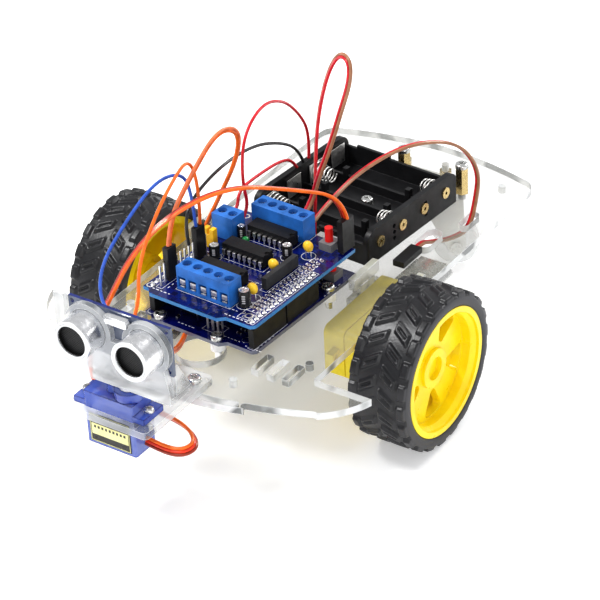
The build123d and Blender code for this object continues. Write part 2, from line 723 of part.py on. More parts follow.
with BuildPart() as jumper:
    with BuildSketch(BOARD.offset(SHIELD_TOP)):
        with Locations((-22.4, 4.0)):
            Rectangle(5.0, 2.6)
    extrude(amount=8.5)
    with BuildSketch(BOARD.offset(SHIELD_TOP + 6.0)):
        with Locations((-22.4, 4.0)):
            Rectangle(1.2, 2.8)
    extrude(amount=3.0, mode=Mode.SUBTRACT)
save(jumper.part, "power_jumper")

RESETS = {"controller": (20.6, 25.6, CTRL_TOP), "shield": (17.9, 28.0, SHIELD_TOP)}
with BuildPart() as reset_switches:
    for u, v, z in RESETS.values():
        with BuildSketch(BOARD.offset(z)):
            with Locations((u, v)):
                Rectangle(6.0, 6.0)
        extrude(amount=3.5)
        with BuildSketch(BOARD.offset(z + 1.2)):
            with Locations((u, v)):
                Circle(1.7)
        extrude(amount=3.0, mode=Mode.SUBTRACT)
save(Compound(children=reset_switches.part.solids()), "reset_switches")
for name, (u, v, z) in RESETS.items():
    tall = 1.5 if name == "controller" else 6.0
    with BuildPart() as button:
        with BuildSketch(BOARD.offset(z + 1.7)):
            with Locations((u, v)):
                Circle(1.65)
        extrude(amount=1.8 + tall)
    save(button.part, f"{name}_reset_button")

# plug housings: (u, v, u size, v size, underside, length) on the shield's pins
PLUGS = [(24.6, 30.0, 2.6, 7.6), (-20.6, -23.02, 2.6, 5.1), (-20.6, -5.24, 2.6, 5.1)]
PLUG_Z = SHIELD_TOP + 0.8
PLUG_L = 14.0
with BuildPart() as plugs:
    for u, v, su, sv in PLUGS:
        with BuildSketch(BOARD.offset(PLUG_Z)):
            with Locations((u, v)):
                Rectangle(su, sv)
        extrude(amount=PLUG_L)
        with BuildSketch(BOARD.offset(PLUG_Z - 0.1)):
            with Locations((u, v)):
                with GridLocations(0, 2.54, 1, round(sv / 2.54)):
                    Rectangle(0.7, 0.7)
        extrude(amount=9.0, mode=Mode.SUBTRACT)
    with BuildSketch(CAR.offset(DECK_TOP)):
        with Locations((35.8, 43.0)):
            Rectangle(5.2, 14.0)
    extrude(amount=2.6)
save(Compound(children=plugs.part.solids()), "wire_plugs")

# ------------------------------------------------------------ servo and head
with BuildPart() as holder:
    with BuildSketch(CAR.offset(DECK_TOP)):
        with Locations((0, -88.35)):
            RectangleRounded(37.4, 42.7, 2)
        with Locations((SERVO_X, SERVO_Y)):
            Rectangle(23.1, 12.6, mode=Mode.SUBTRACT)
        with Locations(*HOLDER_HOLES, (SERVO_X - 14.1, SERVO_Y), (SERVO_X + 14.1, SERVO_Y)):
            Circle(1.5, mode=Mode.SUBTRACT)
    extrude(amount=DECK_T)
save(holder.part, "servo_holder")
HOLDER_TOP = DECK_TOP + DECK_T

CASE_TOP = SERVO_Z + 22.7
AXIS_U = HEAD_X - SERVO_X
with BuildPart() as servo:
    with BuildSketch(SERVO.offset(SERVO_Z)):
        RectangleRounded(22.7, 12.2, 1)
    extrude(amount=22.7)
    with BuildSketch(SERVO.offset(HOLDER_TOP)):
        Rectangle(32.3, 11.8)
        with Locations((-14.1, 0), (14.1, 0)):
            Circle(1.1, mode=Mode.SUBTRACT)
    extrude(amount=2.5)
    with BuildSketch(SERVO.offset(CASE_TOP)):
        with Locations((AXIS_U, 0)):
            Circle(5.8)
        with Locations((AXIS_U - 7.2, 0)):
            Circle(2.6)
    extrude(amount=3.6)
    with BuildSketch(SERVO.offset(CASE_TOP + 0.6)):
        with Locations((AXIS_U, 0)):
            Circle(2.4)
    extrude(amount=4.0, mode=Mode.SUBTRACT)
save(servo.part, "servo_case")

HORN_Z = CASE_TOP + 3.6 + GAP
with BuildPart() as horn:
    with BuildSketch(HEAD.offset(CASE_TOP + 1.0)):
        Circle(2.35)
    extrude(amount=3.0)
    with BuildSketch(HEAD.offset(HORN_Z)):
        Circle(3.6)
        SlotOverall(32, 5.0)
    extrude(amount=1.8)
save(horn.part, "servo_horn")

BASE_Z = HORN_Z + 1.8
BASE_T = 2.5
FACE_Y = -4.6                         # front of the face plate from the pan axis
EYE_U = 13.0
EYE_Z = 84.0
CRYSTAL = (0.5, EYE_Z + 7.6)
HEAD_FRONT = Plane(HEAD.from_local_coords((0, FACE_Y, 0)), x_dir=(1, 0, 0), z_dir=(0, -1, 0))

with BuildPart() as head:
    with BuildSketch(HEAD.offset(BASE_Z)):
        with Locations((-2.5, 1.7)):
            RectangleRounded(50, 12.6, 1)
        with Locations((-9, 0.6), (9, 0.6), (0, 0.6)):
            Circle(1.1, mode=Mode.SUBTRACT)
    extrude(amount=BASE_T)
    with BuildSketch(HEAD_FRONT):
        with BuildLine():
            Polyline(
                (-27.6, BASE_Z), (22.4, BASE_Z), (22.4, BASE_Z + 5), (19.5, EYE_Z - 2),
                (-23, EYE_Z - 2), (-23, EYE_Z + 11.6), (-27.6, EYE_Z + 11.6), close=True,
            )
        make_face()
        with Locations((-EYE_U, EYE_Z), (EYE_U, EYE_Z)):
            Circle(10.4)
        with Locations((-EYE_U, EYE_Z), (EYE_U, EYE_Z)):
            Circle(8.2, mode=Mode.SUBTRACT)
        with Locations(CRYSTAL):
            SlotOverall(11.1, 4.6, mode=Mode.SUBTRACT)
    extrude(amount=-2.5)
    with BuildSketch(side(HEAD_X + 20.0)):
        with BuildLine():
            Polyline(
                (SERVO_Y - 0.5, BASE_Z + BASE_T - 0.1), (SERVO_Y + 8.0, BASE_Z + BASE_T - 0.1),
                (SERVO_Y + 1.0, BASE_Z + 15), (SERVO_Y - 0.5, BASE_Z + 15), close=True,
            )
        make_face()
    extrude(amount=2.4)
save(head.part, "head_bracket")

SENSOR_W, SENSOR_H = 45.5, 20.5
SENSOR_FRONT = Plane(HEAD.from_local_coords((0, FACE_Y + 2.5 + 0.05, 0)), x_dir=(1, 0, 0), z_dir=(0, -1, 0))
with BuildPart() as sensor_board:
    with BuildSketch(SENSOR_FRONT):
        with Locations((0, EYE_Z)):
            Rectangle(SENSOR_W, SENSOR_H)
            with GridLocations(42, 17, 2, 2):
                Circle(0.9, mode=Mode.SUBTRACT)
    extrude(amount=-1.4)
save(sensor_board.part, "sensor_board")

PLUG_R = 1.9                          # rounded rear of the plug, about the pan axis
with BuildPart() as sensor_plug:
    with BuildSketch(HEAD.offset(75.0)):
        Circle(PLUG_R)
        with Locations((0, PLUG_R - 0.6)):
            Rectangle(2 * PLUG_R, 2 * PLUG_R, mode=Mode.INTERSECT)
    extrude(amount=8.0)
save(sensor_plug.part, "sensor_plug")

with BuildPart() as eyes:
    with BuildSketch(SENSOR_FRONT.offset(0.05)):
        with Locations((-EYE_U, EYE_Z), (EYE_U, EYE_Z)):
            Circle(8.0)
    extrude(amount=12.2)
    with BuildSketch(SENSOR_FRONT.offset(0.05 + 12.2)):
        with Locations((-EYE_U, EYE_Z), (EYE_U, EYE_Z)):
            Circle(6.3)
    extrude(amount=-3.0, mode=Mode.SUBTRACT)
    with BuildSketch(SENSOR_FRONT.offset(0.05)):
        with Locations(CRYSTAL):
            SlotOverall(10.5, 4.0)
    extrude(amount=3.4)
save(Compound(children=eyes.part.solids()), "sensor_cans")

with BuildPart() as meshes:
    with BuildSketch(SENSOR_FRONT.offset(0.05 + 9.2)):
        with Locations((-EYE_U, EYE_Z), (EYE_U, EYE_Z)):
            Circle(6.25)
    extrude(amount=0.8)
save(Compound(children=meshes.part.solids()), "sensor_meshes")


# ----------------------------------------------------------------- fasteners
def screw(plane, head_r, head_h, thread_r, length):
    """Pan head screw: head on the +normal side of the plane, thread below it."""
    with BuildPart(mode=Mode.PRIVATE) as one:
        with BuildSketch(plane):
            Circle(head_r)
        extrude(amount=head_h)
        fillet(one.faces().sort_by(Axis(plane.origin, plane.z_dir))[-1].edges(), head_h * 0.45)
        with BuildSketch(plane.offset(head_h)):
            Rectangle(head_r * 1.1, 0.5)
            Rectangle(0.5, head_r * 1.1)
        extrude(amount=-head_h * 0.45, mode=Mode.SUBTRACT)
        with BuildSketch(plane.offset(0.1)):
            Circle(thread_r)
        extrude(amount=-length - 0.1)
    return one.part


def placed(plane, x, y, z):
    """Level plane at a point given in another plane's own coordinates."""
    return Plane(plane.from_local_coords((x, y, z)), x_dir=plane.x_dir, z_dir=(0, 0, 1))


deck_screws = []
for u, v in BOARD_HOLES[1:]:
    deck_screws.append(screw(placed(BOARD, u, v, CTRL_TOP), 2.7, 1.9, 1.45, CTRL_TOP - DECK_Z + 1))
for x, y in STANDOFF_AT:
    deck_screws.append(screw(placed(CAR, x, y, DECK_TOP + 12.0), 2.8, 2.0, 1.2, 4))
for x, y in HOLDER_HOLES:
    deck_screws.append(screw(placed(CAR, x, y, HOLDER_TOP), 2.7, 1.9, 1.45, 8))
for x, y in ((0, BAY_P / 2), (0, -BAY_P * 1.5)):
    deck_screws.append(screw(placed(BOX, x, y, DECK_TOP + BOX_FLOOR), 2.7, 1.9, 1.45, 7))
for sign in (1, -1):
    deck_screws.append(screw(placed(SERVO, sign * 14.1, 0, HOLDER_TOP + 2.5), 2.0, 1.5, 1.05, 8))
save(Compound(children=[s for part in deck_screws for s in part.solids()]), "deck_screws")

head_screws = [screw(placed(HEAD, u, 0.6, BASE_Z + BASE_T), 1.9, 1.4, 1.05, 4) for u in (-9, 0, 9)]
save(Compound(children=[s for part in head_screws for s in part.solids()]), "head_screws")

# --------------------------------------------------------------------- leads
def lead(label, diameter, points):
    """Tube of straight runs and tangent arcs through the corners of a route."""
    route = [Vector(x, y + AXLE_Y, z) for x, y, z in points]
    runs = [b - a for a, b in zip(route, route[1:])]
    radii = []
    for a, b in zip(runs, runs[1:]):
        half = radians(a.get_angle(b)) / 2
        radii.append(0.45 * min(a.length, b.length) / tan(half))
    with BuildPart() as tube:
        with BuildLine() as path:
            FilletPolyline(*route, radius=radii)
        with BuildSketch(Plane(route[0], z_dir=runs[0])):
            Circle(diameter / 2)
        sweep()
    length = path.wires()[0].length
    exact = pi * diameter ** 2 / 4 * length
    print(f"{label}: length {length:.1f}, volume {tube.part.volume:.1f} against {exact:.1f}, radii "
          + " ".join(f"{r:.1f}" for r in radii))
    turns = [a.get_angle(b) for a, b in zip(runs, runs[1:])]
    print("   runs", *[f"{run.length:.0f}" for run in runs], " turns", *[f"{turn:.0f}" for turn in turns])
    save(tube.part, label)


WIRE = 1.5
PAIR = 2.8
TRIPLE = 3.8

LEAD_END = SERVO_Y + PLUG_R + GAP      # where the sensor's leads meet its plug

lead("servo_lead", TRIPLE, [
    (10.7, -100, 38.5), (18.5, -100.8, 38), (27, -100, 38.6), (29.5, -94, 39.6), (22, -88, 40.2),
    (8, -84.5, 39.6), (-8, -85, 40), (-23, -88, 42), (-28, -82, 58), (-20, -76, 78), (-17, -66, 91),
    (-9, -52, 104), (3, -29, 108.5), (16, -4, 97.5), (24.6, 12.4, 89), (25.3, 14.8, 78),
])
lead("sensor_power_lead", PAIR, [
    (-22.4, -36, 78), (-22.2, -34.4, 89), (-19, -24, 103), (-15.5, -10, 117.5), (-14.5, 3, 112.5),
    (-19.5, 8, 96), (-28.5, 3, 74), (-33.5, -4, 58), (-31.5, -14, 49), (-25, -25, 48.4), (-12, -40, 48.5),
    (-3, -60, 49.5), (3, -76, 62), (5, -87, 74), (5, LEAD_END, 77),
])
lead("echo_lead", WIRE, [
    (-21.6, -19.4, 78), (-22.6, -18.8, 89.5), (-24.5, -20.5, 102), (-26.5, -35, 105.5), (-27.5, -54, 97),
    (-26.5, -73, 87), (-20, -82, 77), (-8, -82, 73), (3, -89, 78), (5, LEAD_END, 79.9),
])
lead("trigger_lead", WIRE, [
    (-21.4, -16.9, 78), (-21.2, -16, 93), (-22.2, -19.4, 109), (-13.6, -42, 112), (-8, -62, 107),
    (-3, -79, 98), (4, -89, 88), (5, LEAD_END, 82),
])
lead("right_motor_lead", PAIR, [
    (0.8, 19.2, 66.6), (1.6, 27, 72), (6, 25, 84.5), (13.5, 23, 101), (19.8, 22.5, 119.5),
    (24.2, 23.2, 133.5), (23.4, 24.6, 141.8), (16, 28.6, 141), (9.8, 30, 131), (5, 30, 114),
    (2.6, 29.8, 96.5), (2.8, 27.6, 74), (1.9, 27, 55), (1.2, 28.2, 40), (-14, 37, 34), (-28.4, 41.6, 33),
])
lead("left_motor_lead", PAIR, [
    (5.9, 19.2, 66.6), (9.6, 28, 74.5), (17, 42, 84.5), (28, 60, 90), (38, 79, 84), (43, 88, 68),
    (42, 86, 52), (41, 82, 41.5), (37, 73, 40.5), (34.8, 62, 44.5), (35.4, 54.5, 48.6), (35.8, 50.2, 48.5),
])
lead("battery_red_lead", WIRE, [
    (-28.9, 70, 62.1), (-28.6, 71, 74), (-27.5, 62, 88), (-25.6, 48, 101), (-22.8, 30, 108), (-20.3, 13, 102),
    (-19.4, 9.5, 84), (-19.2, 13, 70), (-19.1, 6.3, 66.6),
])
lead("battery_black_lead", WIRE, [
    (-28.9, 66, 62.1), (-28.8, 62, 71), (-28, 48, 80.5), (-27, 30, 88.5), (-26.2, 8, 91.5),
    (-25.6, -13, 88.5), (-24, -23.5, 82.5), (-21.8, -24.4, 72.2),
])
lead("supply_red_lead", WIRE, [
    (-28.9, 61, 62.1), (-28.6, 57, 68), (-26.3, 45, 73.5), (-25, 29, 76), (-24.6, 14, 76.5), (-24.3, 12, 69),
    (-24.2, 6.5, 66.6),
])

for label, part in DONE:
    box_ = part.bounding_box()
    low, high = box_.min, box_.max
    print(f"{label:26s} solids {len(part.solids()):3d}  volume {part.volume:10.1f}", end="  ")
    print(f"x {low.X:7.1f} {high.X:7.1f}  y {low.Y:7.1f} {high.Y:7.1f}  z {low.Z:6.1f} {high.Z:6.1f}")
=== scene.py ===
"""Looks of a two wheel robot car, in metres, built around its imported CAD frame."""
import math

import bmesh
import bpy
from mathutils import Matrix, Vector


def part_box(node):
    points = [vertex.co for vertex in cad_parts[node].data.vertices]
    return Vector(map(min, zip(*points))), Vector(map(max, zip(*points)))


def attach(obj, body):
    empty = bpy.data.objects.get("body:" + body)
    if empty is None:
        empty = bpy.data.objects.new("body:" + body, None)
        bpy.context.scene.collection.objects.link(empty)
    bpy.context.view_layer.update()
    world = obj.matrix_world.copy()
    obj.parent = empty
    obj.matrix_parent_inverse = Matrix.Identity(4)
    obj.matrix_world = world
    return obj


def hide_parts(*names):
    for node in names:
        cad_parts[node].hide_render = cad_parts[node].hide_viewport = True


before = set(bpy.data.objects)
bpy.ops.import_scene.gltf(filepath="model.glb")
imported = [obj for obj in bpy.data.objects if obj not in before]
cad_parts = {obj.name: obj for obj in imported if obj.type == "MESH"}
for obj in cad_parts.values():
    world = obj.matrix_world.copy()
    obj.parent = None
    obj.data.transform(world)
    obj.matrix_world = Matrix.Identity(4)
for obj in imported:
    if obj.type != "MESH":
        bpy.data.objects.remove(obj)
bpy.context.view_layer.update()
MM = 0.001


def middle(node):
    """Middle of a CAD node's box."""
    low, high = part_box(node)
    return (Vector(low) + Vector(high)) / 2


AXLE = middle("left_shaft")
AXLE_Y = AXLE.y
DECK_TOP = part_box("deck_plate")[1][2]
SHIELD_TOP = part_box("shield_board")[1][2]
CONTROLLER_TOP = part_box("controller_board")[1][2]


def local_frame(x, y, yaw):
    """Level frame of a board or box, given in mm from the wheel axle."""
    place = Matrix.Translation((x * MM, AXLE_Y + y * MM, 0.0))
    return place @ Matrix.Rotation(math.radians(yaw), 4, "Z")


SERVO_Y = -100.0                        # mm from the wheel axle, negative towards the front
BOARD = local_frame(-0.7, -14.0, -2.8)
BOX = local_frame(-1.5, 63.2, -4.2)
HEAD = local_frame(5.0, SERVO_Y, 0.0)
SERVO = local_frame(-0.9, SERVO_Y, 0.0)


def spot(place, u, v, z):
    """Point in row metres from mm in a local frame, with z in metres."""
    return place @ Vector((u * MM, v * MM, z))


# ------------------------------------------------------------------ materials
def principled(name, colour, rough, metallic=0.0, **sockets):
    """Material with one Principled shader; keyword names are its sockets with _ for spaces."""
    mat = bpy.data.materials.new(name)
    mat.use_nodes = True
    shader = mat.node_tree.nodes["Principled BSDF"]
    shader.inputs["Base Color"].default_value = (*colour, 1.0)
    shader.inputs["Roughness"].default_value = rough
    shader.inputs["Metallic"].default_value = metallic
    for key, value in sockets.items():
        shader.inputs[key.replace("_", " ")].default_value = value
    return mat


def add_node(mat, kind, **values):
    """New node with its input sockets set; a socket value may be another socket."""
    made = mat.node_tree.nodes.new(kind)
    for key, value in values.items():
        socket = made.inputs[key.replace("_", " ")]
        if isinstance(value, bpy.types.NodeSocket):
            mat.node_tree.links.new(value, socket)
        else:
            socket.default_value = value
    return made


def surface(mat):
    return mat.node_tree.nodes["Principled BSDF"]


def coordinates(mat):
    return add_node(mat, "ShaderNodeTexCoord").outputs["Object"]


def noise(mat, size, detail=3.0):
    """Noise whose features are about size metres."""
    made = add_node(mat, "ShaderNodeTexNoise", Vector=coordinates(mat), Scale=1.0 / size, Detail=detail)
    return made.outputs["Fac"]


def mix_colours(mat, factor, first, second):
    made = mat.node_tree.nodes.new("ShaderNodeMix")
    made.data_type = "RGBA"
    mat.node_tree.links.new(factor, made.inputs[0])
    for socket, colour in ((made.inputs[6], first), (made.inputs[7], second)):
        if isinstance(colour, bpy.types.NodeSocket):
            mat.node_tree.links.new(colour, socket)
        else:
            socket.default_value = (*colour, 1.0)
    return made.outputs[2]


def remap(mat, value, low, high, start=0.3, stop=0.7):
    made = add_node(mat, "ShaderNodeMapRange", Value=value)
    made.inputs["From Min"].default_value = start
    made.inputs["From Max"].default_value = stop
    made.inputs["To Min"].default_value = low
    made.inputs["To Max"].default_value = high
    return made.outputs["Result"]


def tint(mat, colour_socket):
    mat.node_tree.links.new(colour_socket, surface(mat).inputs["Base Color"])


def vary(mat, first, second, size=0.004, rough=None):
    """Patchy colour between two values and, when asked, patchy roughness."""
    patches = noise(mat, size)
    tint(mat, mix_colours(mat, remap(mat, patches, 0.0, 1.0), first, second))
    if rough:
        mat.node_tree.links.new(remap(mat, noise(mat, size * 0.6), *rough), surface(mat).inputs["Roughness"])
    return mat


def relief(mat, height, depth, rounding=0.0):
    """Bump of the given depth in metres, over edges softened by a small radius."""
    bump = add_node(mat, "ShaderNodeBump", Height=height, Distance=depth)
    if rounding:
        edge = add_node(mat, "ShaderNodeBevel", Radius=rounding)
        edge.samples = 4
        mat.node_tree.links.new(edge.outputs["Normal"], bump.inputs["Normal"])
    mat.node_tree.links.new(bump.outputs["Normal"], surface(mat).inputs["Normal"])
    return mat


def along(mat, axis):
    """1 on faces square to one of the piece's own axes, 0 on faces along it."""
    normal = add_node(mat, "ShaderNodeTexCoord").outputs["Normal"]
    split = add_node(mat, "ShaderNodeSeparateXYZ", Vector=normal)
    size = add_node(mat, "ShaderNodeMath")
    size.operation = "ABSOLUTE"
    mat.node_tree.links.new(split.outputs[axis], size.inputs[0])
    return size.outputs["Value"]


def edge_lines(mat, radius):
    """1 within a radius of an edge, where light gathers in clear plastic, and 0 elsewhere."""
    rounded = add_node(mat, "ShaderNodeBevel", Radius=radius)
    rounded.samples = 4
    flat = add_node(mat, "ShaderNodeNewGeometry")
    match = mat.node_tree.nodes.new("ShaderNodeVectorMath")
    match.operation = "DOT_PRODUCT"
    mat.node_tree.links.new(rounded.outputs["Normal"], match.inputs[0])
    mat.node_tree.links.new(flat.outputs["Normal"], match.inputs[1])
    return remap(mat, match.outputs["Value"], 1.0, 0.0, 0.80, 0.985)


def larger(mat, first, second):
    made = mat.node_tree.nodes.new("ShaderNodeMath")
    made.operation = "MAXIMUM"
    mat.node_tree.links.new(first, made.inputs[0])
    mat.node_tree.links.new(second, made.inputs[1])
    return made.outputs["Value"]


def clear_sheet(name, colour, face_alpha, edge_alpha, sheet_axis):
    """Clear plastic: see-through across its faces, with a painted reflection on its cut faces, milky with
    darker stretches, and a painted highlight along every edge.
    """
    mat = principled(name, colour, 0.08, IOR=1.49)
    across = along(mat, sheet_axis)
    lines = edge_lines(mat, 0.0006)
    sheet_alpha = remap(mat, across, edge_alpha, face_alpha, 0.55, 0.9)
    alpha = larger(mat, sheet_alpha, remap(mat, lines, 0.0, 0.9, 0.0, 1.0))
    mat.node_tree.links.new(alpha, surface(mat).inputs["Alpha"])
    edge_share = remap(mat, across, 1.0, 0.0, 0.55, 0.9)
    # Painted reflection: noise lays darker stretches over the pale cut faces, standing in for what they
    # reflect.
    edge_reflection_patches = remap(mat, noise(mat, 0.012, 1.0), 0.0, 1.0, 0.50, 0.62)
    painted_edge_reflection = mix_colours(mat, edge_reflection_patches, (0.80, 0.81, 0.81), (0.16, 0.17, 0.17))
    face_colour = mix_colours(mat, noise(mat, 0.03), tuple(c * 0.9 for c in colour), colour)
    sheet_colour = mix_colours(mat, edge_share, face_colour, painted_edge_reflection)
    # Painted highlight: a pale line along every edge, where light gathers in the plastic.
    tint(mat, mix_colours(mat, lines, sheet_colour, (0.74, 0.75, 0.75)))
    relief(mat, noise(mat, 0.010), 0.00003, 0.0003)
    return mat


def deck_acrylic():
    return clear_sheet("deck_acrylic", (0.38, 0.38, 0.34), 0.28, 0.85, "Z")


def bracket_acrylic():
    return clear_sheet("bracket_acrylic", (0.74, 0.76, 0.78), 0.36, 0.4, "Y")


def tab_acrylic():
    return clear_sheet("tab_acrylic", (0.70, 0.70, 0.58), 0.5, 0.4, "Z")


def yellow_plastic():
    mat = principled("yellow_plastic", (0.97, 0.74, 0.005), 0.3, IOR=1.5, Subsurface_Weight=0.08)
    surface(mat).inputs["Subsurface Radius"].default_value = (0.003, 0.002, 0.0005)
    vary(mat, (0.92, 0.66, 0.003), (1.0, 0.80, 0.01), 0.012, (0.26, 0.42))
    return relief(mat, noise(mat, 0.0012), 0.00004, 0.0004)


def gearbox_plastic():
    mat = principled("gearbox_plastic", (0.90, 0.72, 0.015), 0.35, IOR=1.5)
    vary(mat, (0.82, 0.66, 0.012), (0.95, 0.78, 0.025), 0.008, (0.3, 0.5))
    return relief(mat, noise(mat, 0.0008), 0.00005, 0.0004)


def tyre_rubber():
    """Black rubber, shinier on the tread and greyer on the smooth flank."""
    mat = principled("tyre_rubber", (0.010, 0.010, 0.011), 0.45, IOR=1.5)
    flank = remap(mat, along(mat, "X"), 0.0, 1.0, 0.75, 0.95)
    tread = mix_colours(mat, noise(mat, 0.004), (0.006, 0.006, 0.007), (0.020, 0.020, 0.023))
    tint(mat, mix_colours(mat, flank, tread, (0.055, 0.055, 0.060)))
    mat.node_tree.links.new(remap(mat, flank, 0.36, 0.6, 0.0, 1.0), surface(mat).inputs["Roughness"])
    return relief(mat, noise(mat, 0.0007, 5.0), 0.00008, 0.0003)


def metal(name, colour, rough, grain=0.0006):
    mat = principled(name, colour, rough, 1.0)
    vary(mat, tuple(c * 0.86 for c in colour), colour, 0.002, (rough * 0.7, rough * 1.3))
    return relief(mat, noise(mat, grain), 0.00003, 0.00012)


def moulded(name, colour, rough=0.45, grain=0.0005, depth=0.00004, rounding=0.00025, lift=1.35):
    """Plain moulded plastic: fine grain, a little colour drift and soft edges."""
    mat = principled(name, colour, rough, IOR=1.5, Specular_IOR_Level=0.35)
    vary(mat, tuple(c * 0.85 for c in colour), tuple(min(1.0, c * lift) for c in colour), 0.006,
         (rough * 0.8, rough * 1.25))
    return relief(mat, noise(mat, grain), depth, rounding)


def milky(name, colour, alpha, rough=0.25):
    mat = principled(name, colour, rough, IOR=1.5, Alpha=alpha, Subsurface_Weight=0.2)
    surface(mat).inputs["Subsurface Radius"].default_value = (0.004, 0.004, 0.004)
    vary(mat, tuple(c * 0.93 for c in colour), colour, 0.005)
    return relief(mat, noise(mat, 0.0015), 0.00004, 0.0003)


def board_coordinates(mat):
    """Object coordinates turned with the boards."""
    turn = add_node(mat, "ShaderNodeMapping", Vector=coordinates(mat))
    turn.inputs["Rotation"].default_value = (0.0, 0.0, math.radians(2.8))
    return turn.outputs["Vector"]


def circuit_board(name, mask, copper, edge, trace=0.0016):
    """Solder mask over copper: a maze of traces a shade lighter, and a pale fibre edge."""
    mat = principled(name, mask, 0.22, IOR=1.5, Coat_Weight=0.4)
    place = board_coordinates(mat)
    cells = add_node(mat, "ShaderNodeTexVoronoi", Vector=place, Scale=0.5 / trace)
    cells.distance = "CHEBYCHEV"
    lines = remap(mat, cells.outputs["Distance"], 1.0, 0.0, 0.34, 0.42)
    copper_colour = mix_colours(mat, lines, copper, mask)
    level = remap(mat, along(mat, "Z"), 0.0, 1.0, 0.4, 0.8)
    tint(mat, mix_colours(mat, level, edge, copper_colour))
    return relief(mat, lines, 0.00004)


def insulation(name, colour):
    mat = principled(name, colour, 0.34, IOR=1.48, Coat_Weight=0.15)
    vary(mat, tuple(c * 0.8 for c in colour), tuple(min(1.0, c * 1.15) for c in colour), 0.003, (0.28, 0.42))
    return relief(mat, noise(mat, 0.0008), 0.00004)


def fine_mesh():
    """Woven metal gauze behind the sensor's rims: a lattice of bright wires over black."""
    mat = principled("fine_mesh", (0.02, 0.02, 0.02), 0.4, 0.6)
    place = add_node(mat, "ShaderNodeMapping", Vector=coordinates(mat))
    place.inputs["Rotation"].default_value = (0.0, math.radians(45), 0.0)
    lines = []
    for direction in ("X", "Z"):
        wave = add_node(mat, "ShaderNodeTexWave", Vector=place.outputs["Vector"], Scale=430.0)
        wave.bands_direction = direction
        lines.append(wave.outputs["Fac"])
    both = add_node(mat, "ShaderNodeMath")
    both.operation = "MAXIMUM"
    mat.node_tree.links.new(lines[0], both.inputs[0])
    mat.node_tree.links.new(lines[1], both.inputs[1])
    wires = remap(mat, both.outputs["Value"], 0.0, 1.0, 0.80, 0.95)
    tint(mat, mix_colours(mat, wires, (0.002, 0.002, 0.002), (0.05, 0.05, 0.052)))
    return relief(mat, both.outputs["Value"], 0.0001)


def servo_blue():
    """Clear blue plastic, with painted shade darkening it along its edges."""
    mat = principled("servo_blue", (0.06, 0.14, 0.55), 0.10, IOR=1.5, Coat_Weight=0.5)
    clear = mix_colours(mat, noise(mat, 0.006), (0.035, 0.085, 0.48), (0.07, 0.14, 0.58))
    lines = edge_lines(mat, 0.0011)
    # Painted shade: the plastic is darkened to deep blue along its edges.
    tint(mat, mix_colours(mat, lines, clear, (0.005, 0.013, 0.15)))
    alpha = remap(mat, lines, 0.72, 0.98, 0.1, 0.9)
    mat.node_tree.links.new(alpha, surface(mat).inputs["Alpha"])
    return relief(mat, noise(mat, 0.006), 0.00003, 0.0003)


MAT = {
    "deck": deck_acrylic(),
    "bracket": bracket_acrylic(),
    "tab": tab_acrylic(),
    "yellow": yellow_plastic(),
    "gearbox": gearbox_plastic(),
    "tyre": tyre_rubber(),
    "steel": metal("steel", (0.74, 0.74, 0.72), 0.25),
    "tin": metal("tin", (0.96, 0.95, 0.92), 0.38),
    "brass": metal("brass", (0.80, 0.62, 0.30), 0.26),
    "silver": metal("silver", (0.93, 0.93, 0.94), 0.22, 0.0015),
    "gauze": fine_mesh(),
    "rim_paint": moulded("rim_paint", (0.80, 0.81, 0.82), 0.3, 0.0006, 0.00002, 0.0002, 1.1),
    "nylon": milky("nylon", (0.92, 0.92, 0.90), 1.0),
    "roller": milky("roller", (0.93, 0.94, 0.94), 0.55, 0.15),
    "black": moulded("black", (0.012, 0.012, 0.013), 0.42),
    "box": moulded("box", (0.010, 0.010, 0.011), 0.40, 0.0004, 0.00005, 0.0004),
    "cavity": moulded("cavity", (0.004, 0.004, 0.004), 0.7),
    "chip": moulded("chip", (0.010, 0.010, 0.011), 0.5, 0.0003),
    "terminal": moulded("terminal", (0.030, 0.16, 0.50), 0.35),
    "bead": moulded("bead", (0.90, 0.50, 0.04), 0.28, 0.001),
    "sleeve": moulded("sleeve", (0.015, 0.015, 0.016), 0.25),
    "stripe": moulded("stripe", (0.55, 0.55, 0.56), 0.35),
    "network": moulded("network", (0.03, 0.031, 0.033), 0.4),
    "led": moulded("led", (0.02, 0.22, 0.06), 0.12),
    "jumper": moulded("jumper", (0.85, 0.45, 0.02), 0.35),
    "switch": moulded("switch", (0.16, 0.16, 0.165), 0.35),
    "red": moulded("red", (0.62, 0.015, 0.012), 0.35),
    "ink": moulded("ink", (0.86, 0.88, 0.90), 0.45),
    "shield": circuit_board("shield", (0.001, 0.003, 0.060), (0.002, 0.009, 0.13), (0.02, 0.20, 0.50)),
    "controller": circuit_board("controller", (0.001, 0.002, 0.05), (0.002, 0.005, 0.09), (0.14, 0.15, 0.2)),
    "sensor_board": circuit_board("sensor_board", (0.002, 0.01, 0.11), (0.005, 0.018, 0.16),
                                  (0.1, 0.12, 0.18)),
    "servo": servo_blue(),
    "label": moulded("label", (0.035, 0.033, 0.030), 0.3),
    "label_band": moulded("label_band", (0.80, 0.74, 0.36), 0.35),
    "wire_red": insulation("wire_red", (0.62, 0.010, 0.022)),
    "wire_tan": insulation("wire_tan", (0.36, 0.165, 0.085)),
    "wire_brown": insulation("wire_brown", (0.30, 0.035, 0.012)),
    "wire_orange": insulation("wire_orange", (0.86, 0.155, 0.010)),
    "wire_scarlet": insulation("wire_scarlet", (0.72, 0.045, 0.012)),
    "wire_salmon": insulation("wire_salmon", (0.85, 0.22, 0.09)),
    "wire_blue": insulation("wire_blue", (0.035, 0.115, 0.52)),
    "wire_black": insulation("wire_black", (0.012, 0.011, 0.012)),
}

